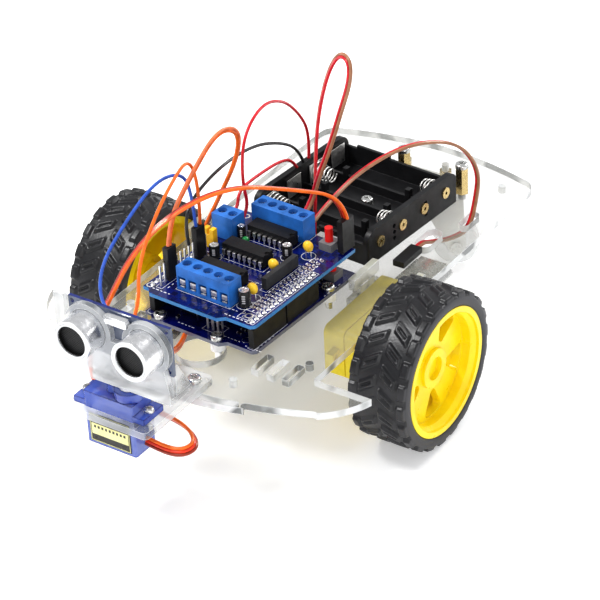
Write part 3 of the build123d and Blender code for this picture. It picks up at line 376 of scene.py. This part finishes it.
NODE_LOOKS = {
    "deck": ["deck_plate"],
    "bracket": ["servo_holder", "head_bracket"],
    "tab": ["motor_brackets"],
    "yellow": ["left_rim", "right_rim"],
    "gearbox": ["left_gearbox", "right_gearbox"],
    "tyre": ["left_tyre", "right_tyre"],
    "steel": ["motor_cans", "motor_bolts", "caster_axle", "deck_screws", "head_screws", "usb_socket",
              "terminal_screws", "battery_contacts"],
    "tin": ["header_pins", "chip_pins"],
    "brass": ["brass_standoffs", "battery_rivets"],
    "silver": ["sensor_cans"],
    "gauze": ["sensor_meshes"],
    "nylon": ["left_shaft", "right_shaft", "caster_base", "caster_fork", "servo_horn", "board_spacers"],
    "roller": ["caster_wheel"],
    "black": ["controller_headers", "power_jack", "wire_plugs", "sensor_plug"],
    "box": ["battery_box"],
    "chip": ["logic_chips"],
    "terminal": ["terminal_blocks"],
    "bead": ["bead_capacitors"],
    "sleeve": ["can_capacitors"],
    "network": ["resistor_network"],
    "led": ["status_led"],
    "jumper": ["power_jumper"],
    "switch": ["reset_switches"],
    "red": ["controller_reset_button", "shield_reset_button"],
    "shield": ["shield_board"],
    "controller": ["controller_board"],
    "sensor_board": ["sensor_board"],
    "servo": ["servo_case"],
}


def dress_nodes():
    for look, nodes in NODE_LOOKS.items():
        for node in nodes:
            for material_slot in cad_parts[node].material_slots:
                material_slot.material = MAT[look]


# ----------------------------------------------------------------- mesh tools
def finish_piece(name, mesh_builder, looks, body, replaces=(), angle=35):
    """Turn a bmesh into a named piece that rides on a body."""
    mesh = bpy.data.meshes.new(name)
    mesh_builder.to_mesh(mesh)
    mesh_builder.free()
    for look in looks:
        mesh.materials.append(MAT[look])
    mesh.polygons.foreach_set("use_smooth", [True] * len(mesh.polygons))
    mesh.set_sharp_from_angle(angle=math.radians(angle))
    made = bpy.data.objects.new(name, mesh)
    bpy.context.collection.objects.link(made)
    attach(made, body)
    if replaces:
        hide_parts(*replaces)
    return made


def add_faces(bm, before, look):
    for face in bm.faces[before:]:
        face.material_index = look


def block(bm, place, size, bevel=0.0, look=0):
    """Box of a size in metres about the origin of a matrix, with bevelled edges."""
    before = len(bm.faces)
    made = bmesh.ops.create_cube(bm, size=1.0, matrix=place @ Matrix.Diagonal((*size, 1.0)))
    if bevel:
        edges = {edge for vert in made["verts"] for edge in vert.link_edges}
        bmesh.ops.bevel(bm, geom=list(edges), offset=bevel, segments=2, profile=0.6, affect="EDGES")
    bm.faces.ensure_lookup_table()
    add_faces(bm, before, look)


def lathe(bm, place, profile, steps=32, look=0):
    """Turned shape: (radius, height) points in metres swept round the Z axis of a matrix."""
    before = len(bm.faces)
    rings = []
    for radius, height in profile:
        if radius < 1e-7:
            rings.append([bm.verts.new(place @ Vector((0, 0, height)))] * steps)
            continue
        ring = []
        for k in range(steps):
            turn = 2 * math.pi * k / steps
            point = Vector((radius * math.cos(turn), radius * math.sin(turn), height))
            ring.append(bm.verts.new(place @ point))
        rings.append(ring)
    for low, high in zip(rings, rings[1:]):
        for k in range(steps):
            corners = [low[k], low[(k + 1) % steps], high[(k + 1) % steps], high[k]]
            corners = list(dict.fromkeys(corners))
            if len(corners) > 2:
                bm.faces.new(corners)
    bm.faces.ensure_lookup_table()
    add_faces(bm, before, look)


def carried_frames(path, hint):
    """Cross-section axes along a path, turned as little as possible from a first hint."""
    axes = []
    side = Vector(hint)
    for k, point in enumerate(path):
        ahead = (path[min(k + 1, len(path) - 1)] - path[max(k - 1, 0)]).normalized()
        side = (side - ahead * side.dot(ahead)).normalized()
        axes.append((side.copy(), ahead.cross(side)))
    return axes


def tube(bm, path, axes, radius, shift=0.0, sides=10, look=0):
    """Round tube along a path, shifted sideways from it; closed at both ends."""
    before = len(bm.faces)
    rings = []
    for point, (side, over) in zip(path, axes):
        centre = point + side * shift
        ring = []
        for k in range(sides):
            turn = 2 * math.pi * k / sides
            edge = centre + side * radius * math.cos(turn) + over * radius * math.sin(turn)
            ring.append(bm.verts.new(edge))
        rings.append(ring)
    for low, high in zip(rings, rings[1:]):
        for k in range(sides):
            bm.faces.new([low[k], low[(k + 1) % sides], high[(k + 1) % sides], high[k]])
    bm.faces.new(list(reversed(rings[0])))
    bm.faces.new(rings[-1])
    bm.faces.ensure_lookup_table()
    add_faces(bm, before, look)


# ---------------------------------------------------------------------- leads
def spline_path(points):
    """Points along one smooth NURBS curve with these control points."""
    curve = bpy.data.curves.new("route", "CURVE")
    curve.dimensions = "3D"
    curve.resolution_u = 12
    spline = curve.splines.new("NURBS")
    spline.points.add(len(points) - 1)
    for control, point in zip(spline.points, points):
        control.co = (*point, 1.0)
    spline.order_u = 3
    spline.use_endpoint_u = True
    guide = bpy.data.objects.new("route", curve)
    line = bpy.data.meshes.new_from_object(guide)
    path = [vert.co.copy() for vert in line.vertices]
    bpy.data.objects.remove(guide)
    bpy.data.curves.remove(curve)
    bpy.data.meshes.remove(line)
    return path


def from_axle(*points):
    """Route points given in mm from the wheel axle line, in row metres."""
    return [Vector((x * MM, y * MM + AXLE_Y, z * MM)) for x, y, z in points]


STRAND = 0.00135                        # diameter of one insulated wire
STRAND_STEP = 0.93                      # spacing of side by side strands, in diameters


def lead(node, route, looks, hint):
    """One free lead of side by side insulated strands, in place of its CAD tube."""
    path = spline_path(route)
    axes = carried_frames(path, hint)
    bm = bmesh.new()
    width = 0.0
    for k, _ in enumerate(looks):
        shift = (k - (len(looks) - 1) / 2) * STRAND * STRAND_STEP
        width = max(width, 2 * abs(shift) + STRAND)
        tube(bm, path, axes, STRAND / 2, shift, look=k)
    made = finish_piece(f"{node}_strands", bm, looks, "chassis", [node])


PLUG_R = 1.9
GAP = 0.3
LEAD_END = SERVO_Y + PLUG_R + GAP       # the sensor's leads meet its plug here


def make_leads():
    lead("servo_lead", from_axle(
        (10.7, -100, 38.5), (18.5, -100.8, 38), (27, -100, 38.6), (29.5, -94, 39.6), (22, -88, 40.2),
        (8, -84.5, 39.6), (-8, -85, 40), (-23, -88, 42), (-28, -82, 58), (-20, -76, 78), (-17, -66, 91),
        (-9, -52, 104), (3, -29, 108.5), (16, -4, 97.5), (24.6, 12.4, 89), (25.3, 14.8, 78),
    ), ["wire_brown", "wire_scarlet", "wire_orange"], (0, 0.3, 1))
    lead("sensor_power_lead", from_axle(
        (-22.4, -36, 78), (-22.2, -34.4, 89), (-19, -24, 103), (-15.5, -10, 117.5), (-14.5, 3, 112.5),
        (-19.5, 8, 96), (-28.5, 3, 74), (-33.5, -4, 58), (-31.5, -14, 49), (-25, -25, 48.4), (-12, -40, 48.5),
        (-3, -60, 49.5), (3, -76, 62), (5, -87, 74), (5, LEAD_END, 77),
    ), ["wire_salmon", "wire_orange"], (0, 1, 0))
    lead("echo_lead", from_axle(
        (-21.6, -19.4, 78), (-22.6, -18.8, 89.5), (-24.5, -20.5, 102), (-26.5, -35, 105.5), (-27.5, -54, 97),
        (-26.5, -73, 87), (-20, -82, 77), (-8, -82, 73), (3, -89, 78), (5, LEAD_END, 79.9),
    ), ["wire_blue"], (1, 0, 0))
    lead("trigger_lead", from_axle(
        (-21.4, -16.9, 78), (-21.2, -16, 93), (-22.2, -19.4, 109), (-13.6, -42, 112), (-8, -62, 107),
        (-3, -79, 98), (4, -89, 88), (5, LEAD_END, 82),
    ), ["wire_orange"], (1, 0, 0))
    lead("right_motor_lead", from_axle(
        (0.8, 19.2, 66.6), (1.6, 27, 72), (6, 25, 84.5), (13.5, 23, 101), (19.8, 22.5, 119.5),
        (24.2, 23.2, 133.5), (23.4, 24.6, 141.8), (16, 28.6, 141), (9.8, 30, 131), (5, 30, 114),
        (2.6, 29.8, 96.5), (2.8, 27.6, 74), (1.9, 27, 55), (1.2, 28.2, 40), (-14, 37, 34), (-28.4, 41.6, 33),
    ), ["wire_red", "wire_tan"], (1, 0, 0))
    lead("left_motor_lead", from_axle(
        (5.9, 19.2, 66.6), (9.6, 28, 74.5), (17, 42, 84.5), (28, 60, 90), (38, 79, 84), (43, 88, 68),
        (42, 86, 52), (41, 82, 41.5), (37, 73, 40.5), (34.8, 62, 44.5), (35.4, 54.5, 48.6),
        (35.8, 50.2, 48.5),
    ), ["wire_red", "wire_tan"], (0.6, -0.6, 0))
    lead("battery_red_lead", from_axle(
        (-28.9, 70, 62.1), (-28.6, 71, 74), (-27.5, 62, 88), (-25.6, 48, 101), (-22.8, 30, 108),
        (-20.3, 13, 102), (-19.4, 9.5, 84), (-19.2, 13, 70), (-19.1, 6.3, 66.6),
    ), ["wire_red"], (1, 0, 0))
    lead("battery_black_lead", from_axle(
        (-28.9, 66, 62.1), (-28.8, 62, 71), (-28, 48, 80.5), (-27, 30, 88.5), (-26.2, 8, 91.5),
        (-25.6, -13, 88.5), (-24, -23.5, 82.5), (-21.8, -24.4, 72.2),
    ), ["wire_black"], (1, 0, 0))
    lead("supply_red_lead", from_axle(
        (-28.9, 61, 62.1), (-28.6, 57, 68), (-26.3, 45, 73.5), (-25, 29, 76), (-24.6, 14, 76.5),
        (-24.3, 12, 69), (-24.2, 6.5, 66.6),
    ), ["wire_red"], (1, 0, 0))


# --------------------------------------------------------------- small pieces
# Places on a board or in the box are in mm from its middle; a CANS row adds radius and height.
PITCH = 2.54
INK = 0.00003                           # thickness of printed marks
LEG = 0.0003                            # thickness of a chip's legs
ROUNDING = 0.00008                      # bevel along their edges
CHIPS = [(-3.5, -12.6), (-4.3, 4.4), (-4.3, 20.6)]
CANS = [(-15.1, 14.6, 1.7, 6.5), (8.2, 13.4, 2.2, 6.0), (-15.9, -1.9, 2.2, 6.0), (14.9, -22.7, 2.5, 7.0)]
BEADS = [(14.6, 18.6), (11.1, 0.8), (14.7, -17.2)]


def at(place, u, v, z, turn=0.0):
    """Matrix at a local point in mm, height in metres, turned about Z by degrees."""
    return place @ Matrix.Translation((u * MM, v * MM, z)) @ Matrix.Rotation(math.radians(turn), 4, "Z")


def make_can_capacitors():
    bm = bmesh.new()
    for u, v, radius, height in CANS:
        r, h = radius * MM, height * MM
        place = at(BOARD, u, v, SHIELD_TOP)
        lathe(bm, place, [
            (0, 0.0001), (r * 0.9, 0.0001), (r * 0.98, 0.0004), (r * 0.9, 0.0009), (r * 0.98, 0.0014),
            (r * 0.98, h - 0.0006), (r * 0.9, h - 0.0001), (r * 0.8, h),
        ], 28, 0)
        lathe(bm, place, [(r * 0.8, h), (r * 0.76, h - 0.00025), (0, h - 0.0002)], 28, 1)
        for turn in (0, 60, 120):
            block(bm, at(BOARD, u, v, SHIELD_TOP + h - 0.00018, turn), (r * 1.3, 0.00018, 0.0001), 0, 2)
        for k in range(4):
            z = 0.002 + (h - 0.003) * k / 4
            place_mark = at(BOARD, u, v, SHIELD_TOP + z + 0.0004, -60) @ Matrix.Translation((r * 0.985, 0, 0))
            block(bm, place_mark, (0.00006, r * 0.55, 0.0006), 0, 3)
    finish_piece("can_capacitor_bodies", bm, ["sleeve", "silver", "steel", "stripe"], "chassis",
                 ["can_capacitors"])


def make_bead_capacitors():
    bm = bmesh.new()
    lens = [(0, -2.5), (1.1, -2.2), (2.0, -1.3), (2.3, 0.0), (2.1, 1.1), (1.3, 2.0), (0, 2.3)]
    for u, v in BEADS:
        place = at(BOARD, u, v, SHIELD_TOP + 0.0046) @ Matrix.Diagonal((1.0, 0.72, 1.0, 1.0))
        lathe(bm, place, [(r * MM, z * MM) for r, z in lens], 24, 0)
        for side in (-1, 1):
            leg = [
                spot(BOARD, u + side * 0.6, v, SHIELD_TOP + 0.0028),
                spot(BOARD, u + side * 1.2, v, SHIELD_TOP + 0.0020),
                spot(BOARD, u + side * 1.27, v, SHIELD_TOP),
            ]
            tube(bm, leg, carried_frames(leg, (0, 1, 0)), 0.00025, 0, 8, 1)
    finish_piece("bead_capacitor_bodies", bm, ["bead", "tin"], "chassis", ["bead_capacitors"], 60)


def make_chip_legs():
    """Bent tin legs along both sides of each shield chip and of the controller chip."""
    bm = bmesh.new()
    for u, v in CHIPS:
        for side in (-1, 1):
            for k in range(8):
                x = u + (k - 3.5) * PITCH
                block(bm, at(BOARD, x, v + side * 3.65, SHIELD_TOP + 0.0033), (0.0015, 0.0009, LEG), ROUNDING)
                block(bm, at(BOARD, x, v + side * 4.0, SHIELD_TOP + 0.0025), (0.0015, LEG, 0.0019), ROUNDING)
                block(bm, at(BOARD, x, v + side * 4.0, SHIELD_TOP + 0.0008), (0.0006, LEG, 0.0016), ROUNDING)
    for side in (-1, 1):
        for k in range(14):
            y = -8.0 + (k - 6.5) * PITCH
            place = at(BOARD, -11.5 + side * 4.0, y, CONTROLLER_TOP + 0.0013)
            block(bm, place, (LEG, 0.0012, 0.0026), ROUNDING)
    finish_piece("chip_legs", bm, ["tin"], "chassis", ["chip_pins"])


def outline(bm, place, u, v, width, depth, z, line=0.22):
    """Rectangle of printed lines on a board, in mm."""
    for side in (-1, 1):
        block(bm, at(place, u, v + side * depth / 2, z), (width * MM, line * MM, INK))
        block(bm, at(place, u + side * width / 2, v, z), (line * MM, depth * MM, INK))


def ring(bm, place, u, v, outer, inner, z, look=0, steps=28):
    """Thin flat ring on a board, radii in mm."""
    profile = [(inner * MM, 0), (outer * MM, 0), (outer * MM, 0.00005), (inner * MM, 0.00006)]
    lathe(bm, at(place, u, v, z), profile, steps, look)


def tick_rows(bm, place, starts, count, gap, size, z, turn=0.0):
    """Rows of short printed ticks standing for the boards' markings."""
    for row, (u, v) in enumerate(starts):
        for k in range(count):
            length = size[0] * (0.7 + 0.6 * ((k * 7 + row * 3) % 5) / 5)
            a = math.radians(turn)
            place_at = at(place, u + math.cos(a) * gap * k, v + math.sin(a) * gap * k, z, turn)
            block(bm, place_at, (length * MM, size[1] * MM, INK))


def make_shield_marks():
    """Printed outlines and ticks on the shield."""
    bm = bmesh.new()
    z = SHIELD_TOP + 0.00002
    for u, v in CHIPS:
        outline(bm, BOARD, u, v, 21.6, 9.6, z)
    outline(bm, BOARD, 14.8, 0, 3.2, 22.4, z)
    outline(bm, BOARD, -1.4, -23.5, 26.4, 9.0, z)
    outline(bm, BOARD, -5.2, 29.0, 26.4, 7.6, z)
    outline(bm, BOARD, -20.6, -15.4, 2.9, 31.0, z)
    outline(bm, BOARD, 20.6, -27.6, 7.0, 5.6, z)
    outline(bm, BOARD, 24.1, -21.5, 3.2, 20.6, z)
    outline(bm, BOARD, 24.1, 0.0, 3.2, 20.6, z)
    for u, v, radius, _ in CANS:
        ring(bm, BOARD, u, v, radius + 0.7, radius + 0.45, z)
    for u, v in BEADS:
        ring(bm, BOARD, u, v, 3.0, 2.75, z)
    tick_rows(bm, BOARD, [(21.9, -29), (17.2, -27), (19.9, -24)], 19, 2.4, (1.3, 0.45), z, 90)
    tick_rows(bm, BOARD, [(-24.6, -29), (-17.6, -28.5)], 12, 2.5, (1.2, 0.4), z, 90)
    tick_rows(bm, BOARD, [(9.6, -27.5), (9.6, -7.6), (7.0, 8.8)], 4, 1.7, (1.0, 0.4), z)
    tick_rows(bm, BOARD, [(-24.0, -32.2), (12.5, -31.4)], 6, 1.9, (1.2, 0.45), z)
    finish_piece("shield_marks", bm, ["ink"], "chassis")


def make_solder():
    """Solder pads and domes of the shield's pin rows and its field of bare holes."""
    bm = bmesh.new()
    z = SHIELD_TOP
    dome = [(0.95, 0.0), (0.95, 0.00005), (0.62, 0.0002), (0.42, 0.0007), (0.34, 0.0012), (0, 0.0013)]
    rows = [(24.13, -21.4, 8), (24.13, -0.1, 8), (-24.13, -23.9, 6), (-24.13, -4.8, 6)]
    for u, v, ways in rows:
        for k in range(ways):
            place = at(BOARD, u, v + (k - (ways - 1) / 2) * PITCH, z)
            lathe(bm, place, [(r * MM, h) for r, h in dome], 14)
    for column in (0, 1):
        for k in range(17):
            ring(bm, BOARD, 21.0 - 2.6 * column, -22.0 + k * PITCH, 0.85, 0.42, z, 0, 14)
    for u, v in ((-24.7, -30.9), (20.9, 30.6), (-24.6, 29.6), (20.6, -27.6)):
        ring(bm, BOARD, u, v, 1.7, 1.1, z)
    for u, v in ((17.7, -27.0), (19.2, -29.0), (22.4, -29.2), (-12.5, 10.6), (-8.4, 11.0), (8.6, -8.2)):
        ring(bm, BOARD, u, v, 0.8, 0.4, z, 0, 14)
    finish_piece("shield_solder", bm, ["tin"], "chassis", angle=60)


SMALL_PARTS = [(14.0, -26.0, 0), (14.0, -23.4, 0), (-13.0, -29.6, 90), (18.4, 20.6, 90), (24.4, 20.0, 0)]


def make_controller_details():
    """Printed marks, pads, small chips and rings on the visible front of the controller."""
    bm = bmesh.new()
    z = CONTROLLER_TOP
    outline(bm, BOARD, 4.0, -28.0, 8.6, 6.0, z)
    outline(bm, BOARD, 24.1, -21.5, 3.0, 21.4, z)
    tick_rows(bm, BOARD, [(21.3, -31.4), (10.5, -30.4), (-10.4, -32.4)], 5, 1.7, (1.1, 0.4), z)
    tick_rows(bm, BOARD, [(26.0, 13.0), (26.0, -30.0)], 5, 2.4, (1.2, 0.35), z, 90)
    for u, v in ((-24.13, -31.8), (19.0, -28.0), (20.3, 18.5)):
        ring(bm, BOARD, u, v, 1.9, 1.65, z, 1)
    for k in range(8):
        ring(bm, BOARD, 24.13, -30.3 + k * PITCH, 0.8, 0.45, z, 1, 14)
    for u, v, turn in SMALL_PARTS:
        block(bm, at(BOARD, u, v, z + 0.0003, turn), (0.0016, 0.0008, 0.0006), 0.0001, 2)
        for side in (-1, 1):
            place = at(BOARD, u, v, z + 0.0003, turn) @ Matrix.Translation((side * 0.0009, 0, 0))
            block(bm, place, (0.0004, 0.00084, 0.00064), 0.00008, 1)
    block(bm, at(BOARD, -4.5, 8.0, z + 0.0006, 45), (0.0060, 0.0060, 0.0012), 0.00015, 2)
    finish_piece("controller_details", bm, ["ink", "tin", "chip"], "chassis")


BAY = 15.1                              # mm from one cell to the next


def make_battery_springs():
    """Conical springs and stamped plates at the ends of the cell bays."""
    bm = bmesh.new()
    centre = DECK_TOP + 0.008
    for k in range(4):
        v = (k - 1.5) * BAY
        flip = 1 if k % 2 else -1
        for end in (flip, -flip):
            block(bm, at(BOX, end * 26.25, v, centre), (0.0004, 0.0092, 0.0088), 0.00015)
        coil = []
        turns, steps = 5, 18
        for n in range(turns * steps + 1):
            t = n / (turns * steps)
            a = 2 * math.pi * turns * t
            radius = 4.1 - 1.5 * t
            u = flip * (25.9 - 8.4 * t)
            coil.append(spot(BOX, u, v + radius * math.cos(a), centre + radius * math.sin(a) * MM))
        tube(bm, coil, carried_frames(coil, (1, 0, 0)), 0.00035, 0, 8)
        stud = at(BOX, -flip * 26.05, v, centre) @ Matrix.Rotation(math.radians(-90 * flip), 4, "Y")
        lathe(bm, stud, [(0.0026, 0), (0.0026, 0.0003), (0.0020, 0.0009), (0, 0.0011)], 24)
    finish_piece("battery_springs", bm, ["tin"], "chassis", ["battery_contacts"], 50)


TERMINALS = [(-1.4, -23.5, 5, 0), (-5.2, 29.0, 5, 180), (-21.9, 15.0, 2, 180)]


def make_terminal_clamps():
    """Bright rising clamps seen in the ports of the screw terminals."""
    bm = bmesh.new()
    for u, v, ways, turn in TERMINALS:
        block_place = at(BOARD, u, v, SHIELD_TOP, turn)
        for k in range(ways):
            x = (k - (ways - 1) / 2) * 2 * PITCH * MM
            clamp = block_place @ Matrix.Translation((x, -0.0034, 0.0036))
            block(bm, clamp, (0.0027, 0.0006, 0.0022), 0.0002)
            block(bm, clamp @ Matrix.Translation((0, -0.0002, -0.0019)), (0.0022, 0.0006, 0.0006), 0.0001)
    finish_piece("terminal_clamps", bm, ["tin"], "chassis")


SERVO_REACH = 0.0062                    # from the pan axis to the front of the servo


def make_servo_label():
    """Dark label with a pale band and a thin border on the front of the servo."""
    bm = bmesh.new()
    middle_x = SERVO.translation.x
    y = SERVO.translation.y - SERVO_REACH
    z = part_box("servo_case")[0][2] + 0.0076
    block(bm, Matrix.Translation((middle_x, y, z)), (0.0186, 0.0003, 0.0126), 0, 0)
    block(bm, Matrix.Translation((middle_x, y - 0.0002, z - 0.0005)), (0.0168, 0.0002, 0.0048), 0, 1)
    for k in range(9):
        x = middle_x + (k - 4) * 0.0017
        block(bm, Matrix.Translation((x, y - 0.0003, z + 0.0006)), (0.0009, 0.0001, 0.0011), 0, 0)
    for side in (-1, 1):
        level = Matrix.Translation((middle_x, y - 0.0002, z + side * 0.0059))
        upright = Matrix.Translation((middle_x + side * 0.0089, y - 0.0002, z))
        block(bm, level, (0.0178, 0.0002, 0.0002), 0, 1)
        block(bm, upright, (0.0002, 0.0002, 0.0118), 0, 1)
    finish_piece("servo_label", bm, ["label", "label_band"], "chassis")


EYE_SPACING = 0.013                     # from the head's middle to each can
EYE_Z = 0.084
EYE_R = 0.0080


def make_sensor_cans():
    """Turned transducer cans with rolled rims, and the crystal's oval can."""
    bm = bmesh.new()
    front_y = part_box("sensor_cans")[0][1]
    back_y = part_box("sensor_cans")[1][1]
    depth = back_y - front_y
    forward = Matrix.Rotation(math.radians(90), 4, "X")
    for side in (-1, 1):
        x = HEAD.translation.x + side * EYE_SPACING
        place = Matrix.Translation((x, back_y, EYE_Z)) @ forward
        lathe(bm, place, [
            (0, 0.0), (EYE_R, 0.0), (EYE_R, depth * 0.84), (0.00792, depth * 0.93), (0.0076, depth * 0.98),
            (0.0071, depth), (0.0067, depth * 0.99), (0.0064, depth * 0.95), (0.0063, depth * 0.90),
        ], 64)
        lathe(bm, place, [(0.0063, depth * 0.90), (0.0063, depth * 0.62), (0, depth * 0.62)], 64, 1)
    for side in (-1, 1):
        x = HEAD.translation.x + side * EYE_SPACING
        rim_place = Matrix.Translation((x, front_y + 0.0004, EYE_Z)) @ forward
        lathe(bm, rim_place, [(0.0062, 0.0), (0.0064, 0.0004), (0.0078, 0.0004), (EYE_R, 0.0)], 64, 2)
    crystal = Matrix.Translation((HEAD.translation.x + 0.0005, back_y - 0.0017, 0.0916))
    block(bm, crystal, (0.0104, 0.0034, 0.0039), 0.0012)
    finish_piece("sensor_can_shells", bm, ["silver", "cavity", "rim_paint"], "sensor_head",
                 ["sensor_cans"], 50)


TREADS = 22
WHEEL_R = 0.0327
CREST = 1.25                            # mm from the bottom of the tread to its top
LEAN = 0.07                             # pitches a bar gains for each mm towards the shoulder


def smooth_step(value, start, stop):
    share = min(1.0, max(0.0, (value - start) / (stop - start)))
    return share * share * (3 - 2 * share)


def bar(phase, start, stop, soft):
    """1 between two phases of a repeat of 1, with soft flanks."""
    phase = phase % 1.0
    return smooth_step(phase, start - soft, start + soft) * (1 - smooth_step(phase, stop - soft, stop + soft))


def tread_height(across, turns):
    """Share of the tread's relief at a place: mm from the middle of the tread, and turns in pitches."""
    side = 0.5 if across > 0 else 0.0
    reach = abs(across)
    chevron = bar(turns + side - reach * LEAN, 0.12, 0.60, 0.05)
    chevron *= smooth_step(reach, 0.7, 1.2) * (1 - smooth_step(reach, 7.4, 8.0))
    groove = bar(turns + side - reach * LEAN, 0.29, 0.42, 0.03)
    groove *= smooth_step(reach, 2.0, 2.6) * (1 - smooth_step(reach, 6.4, 7.0))
    block_edge = bar(turns + side + 0.35, 0.16, 0.80, 0.06)
    block_edge *= smooth_step(reach, 8.9, 9.5) * (1 - smooth_step(reach, 12.0, 12.6))
    return max(chevron - 0.75 * groove, block_edge)


def make_tyre(side):
    """Moulded tyre: smooth flanks and a tread of slanted bars between rows of shoulder blocks."""
    node = f"{side}_tyre"
    low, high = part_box(node)
    centre = (low + high) / 2
    flank = [
        (-12.4, 26.65), (-12.9, 27.6), (-13.0, 28.8), (-12.9, 29.8), (-12.7, 30.4), (-12.5, 30.7),
        (-12.3, 30.9),
    ]
    tread = [(-12.0 + 24.0 * k / 64, 31.35) for k in range(65)]
    bead = [(8.4, 25.3), (-8.4, 25.3)]
    profile = flank + tread + [(-x, r) for x, r in reversed(flank)] + bead
    steps = TREADS * 24
    vertices = []
    for n in range(steps):
        turn = 2 * math.pi * n / steps
        for x, r in profile:
            if abs(x) <= 12.4 and r > 30.8:
                crown = 0.35 * (abs(x) / 12.0) ** 3
                r += -crown + CREST * tread_height(x, TREADS * n / steps)
            r = min(r * MM, WHEEL_R)
            vertices.append((centre.x + x * MM, AXLE.y - r * math.sin(turn), AXLE.z + r * math.cos(turn)))
    count = len(profile)
    faces = []
    for n in range(steps):
        here, there = n * count, (n + 1) % steps * count
        for k in range(count):
            after = (k + 1) % count
            faces.append((here + k, there + k, there + after, here + after))
    mesh = bpy.data.meshes.new(f"{node}_rubber")
    mesh.from_pydata(vertices, [], faces)
    mesh.materials.append(MAT["tyre"])
    mesh.polygons.foreach_set("use_smooth", [True] * len(mesh.polygons))
    mesh.update()
    made = bpy.data.objects.new(f"{node}_rubber", mesh)
    bpy.context.collection.objects.link(made)
    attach(made, f"{side}_wheel")
    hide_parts(node)


# -------------------------------------------------------------- stage, camera
def make_stage():
    bpy.ops.mesh.primitive_plane_add(size=6.0, location=(0, 0, 0))
    floor = bpy.context.object
    floor.name = "floor"
    mat = principled("floor", (0.9, 0.9, 0.9), 0.7, Emission_Strength=0.30)
    surface(mat).inputs["Emission Color"].default_value = (1.0, 1.0, 1.0, 1.0)
    vary(mat, (0.90, 0.90, 0.90), (0.92, 0.92, 0.92), 0.4)
    floor.data.materials.append(mat)


def area_light(name, location, target, size, power):
    data = bpy.data.lights.new(name, "AREA")
    data.shape = "DISK"
    data.size = size
    data.energy = power
    lamp = bpy.data.objects.new(name, data)
    lamp.location = location
    aim = Vector(target) - Vector(location)
    lamp.rotation_euler = aim.to_track_quat("-Z", "Y").to_euler()
    bpy.context.collection.objects.link(lamp)


def make_lights():
    world = bpy.data.worlds.new("studio")
    bpy.context.scene.world = world
    world.use_nodes = True
    background = world.node_tree.nodes["Background"]
    background.inputs["Color"].default_value = (0.97, 0.98, 1.0, 1.0)
    background.inputs["Strength"].default_value = 0.62
    area_light("key", (-0.45, -0.35, 1.0), (0, 0, 0.04), 0.25, 9.0)
    area_light("fill", (0.8, -0.7, 0.5), (0, 0, 0.04), 0.5, 2.5)
    area_light("rim", (0.2, 0.9, 0.8), (0, 0, 0.05), 0.4, 5.0)
    bpy.context.scene.view_settings.view_transform = "Standard"
    bpy.context.scene.view_settings.look = "Medium High Contrast"
    bpy.context.scene.view_settings.exposure = -0.12


AZIMUTH, ELEVATION, ROLL = 35.21, 32.98, -2.90
DISTANCE = 0.9646
LENS = 145.67
TARGET = (0.00878, 0.00507, 0.040)      # from the wheel axle


def make_camera():
    """Camera three quarters from the front left, a little above, with a slight roll."""
    a, e, r = (math.radians(angle) for angle in (AZIMUTH, ELEVATION, ROLL))
    back = Vector((math.sin(a) * math.cos(e), -math.cos(a) * math.cos(e), math.sin(e)))
    right = (-back).cross(Vector((0, 0, 1))).normalized()
    up = right.cross(-back)
    across = right * math.cos(r) + up * math.sin(r)
    upright = up * math.cos(r) - right * math.sin(r)
    data = bpy.data.cameras.new("camera")
    data.sensor_width = 36.0
    data.lens = LENS
    camera = bpy.data.objects.new("camera", data)
    turn = Matrix((across, upright, back)).transposed().to_4x4()
    target = Vector((TARGET[0], TARGET[1] + AXLE_Y, TARGET[2]))
    camera.matrix_world = Matrix.Translation(target + back * DISTANCE) @ turn
    bpy.context.collection.objects.link(camera)
    bpy.context.scene.camera = camera


dress_nodes()
make_leads()
make_can_capacitors()
make_bead_capacitors()
make_chip_legs()
make_shield_marks()
make_solder()
make_controller_details()
make_battery_springs()
make_terminal_clamps()
make_servo_label()
make_sensor_cans()
make_tyre("left")
make_tyre("right")
make_stage()
make_lights()
make_camera()
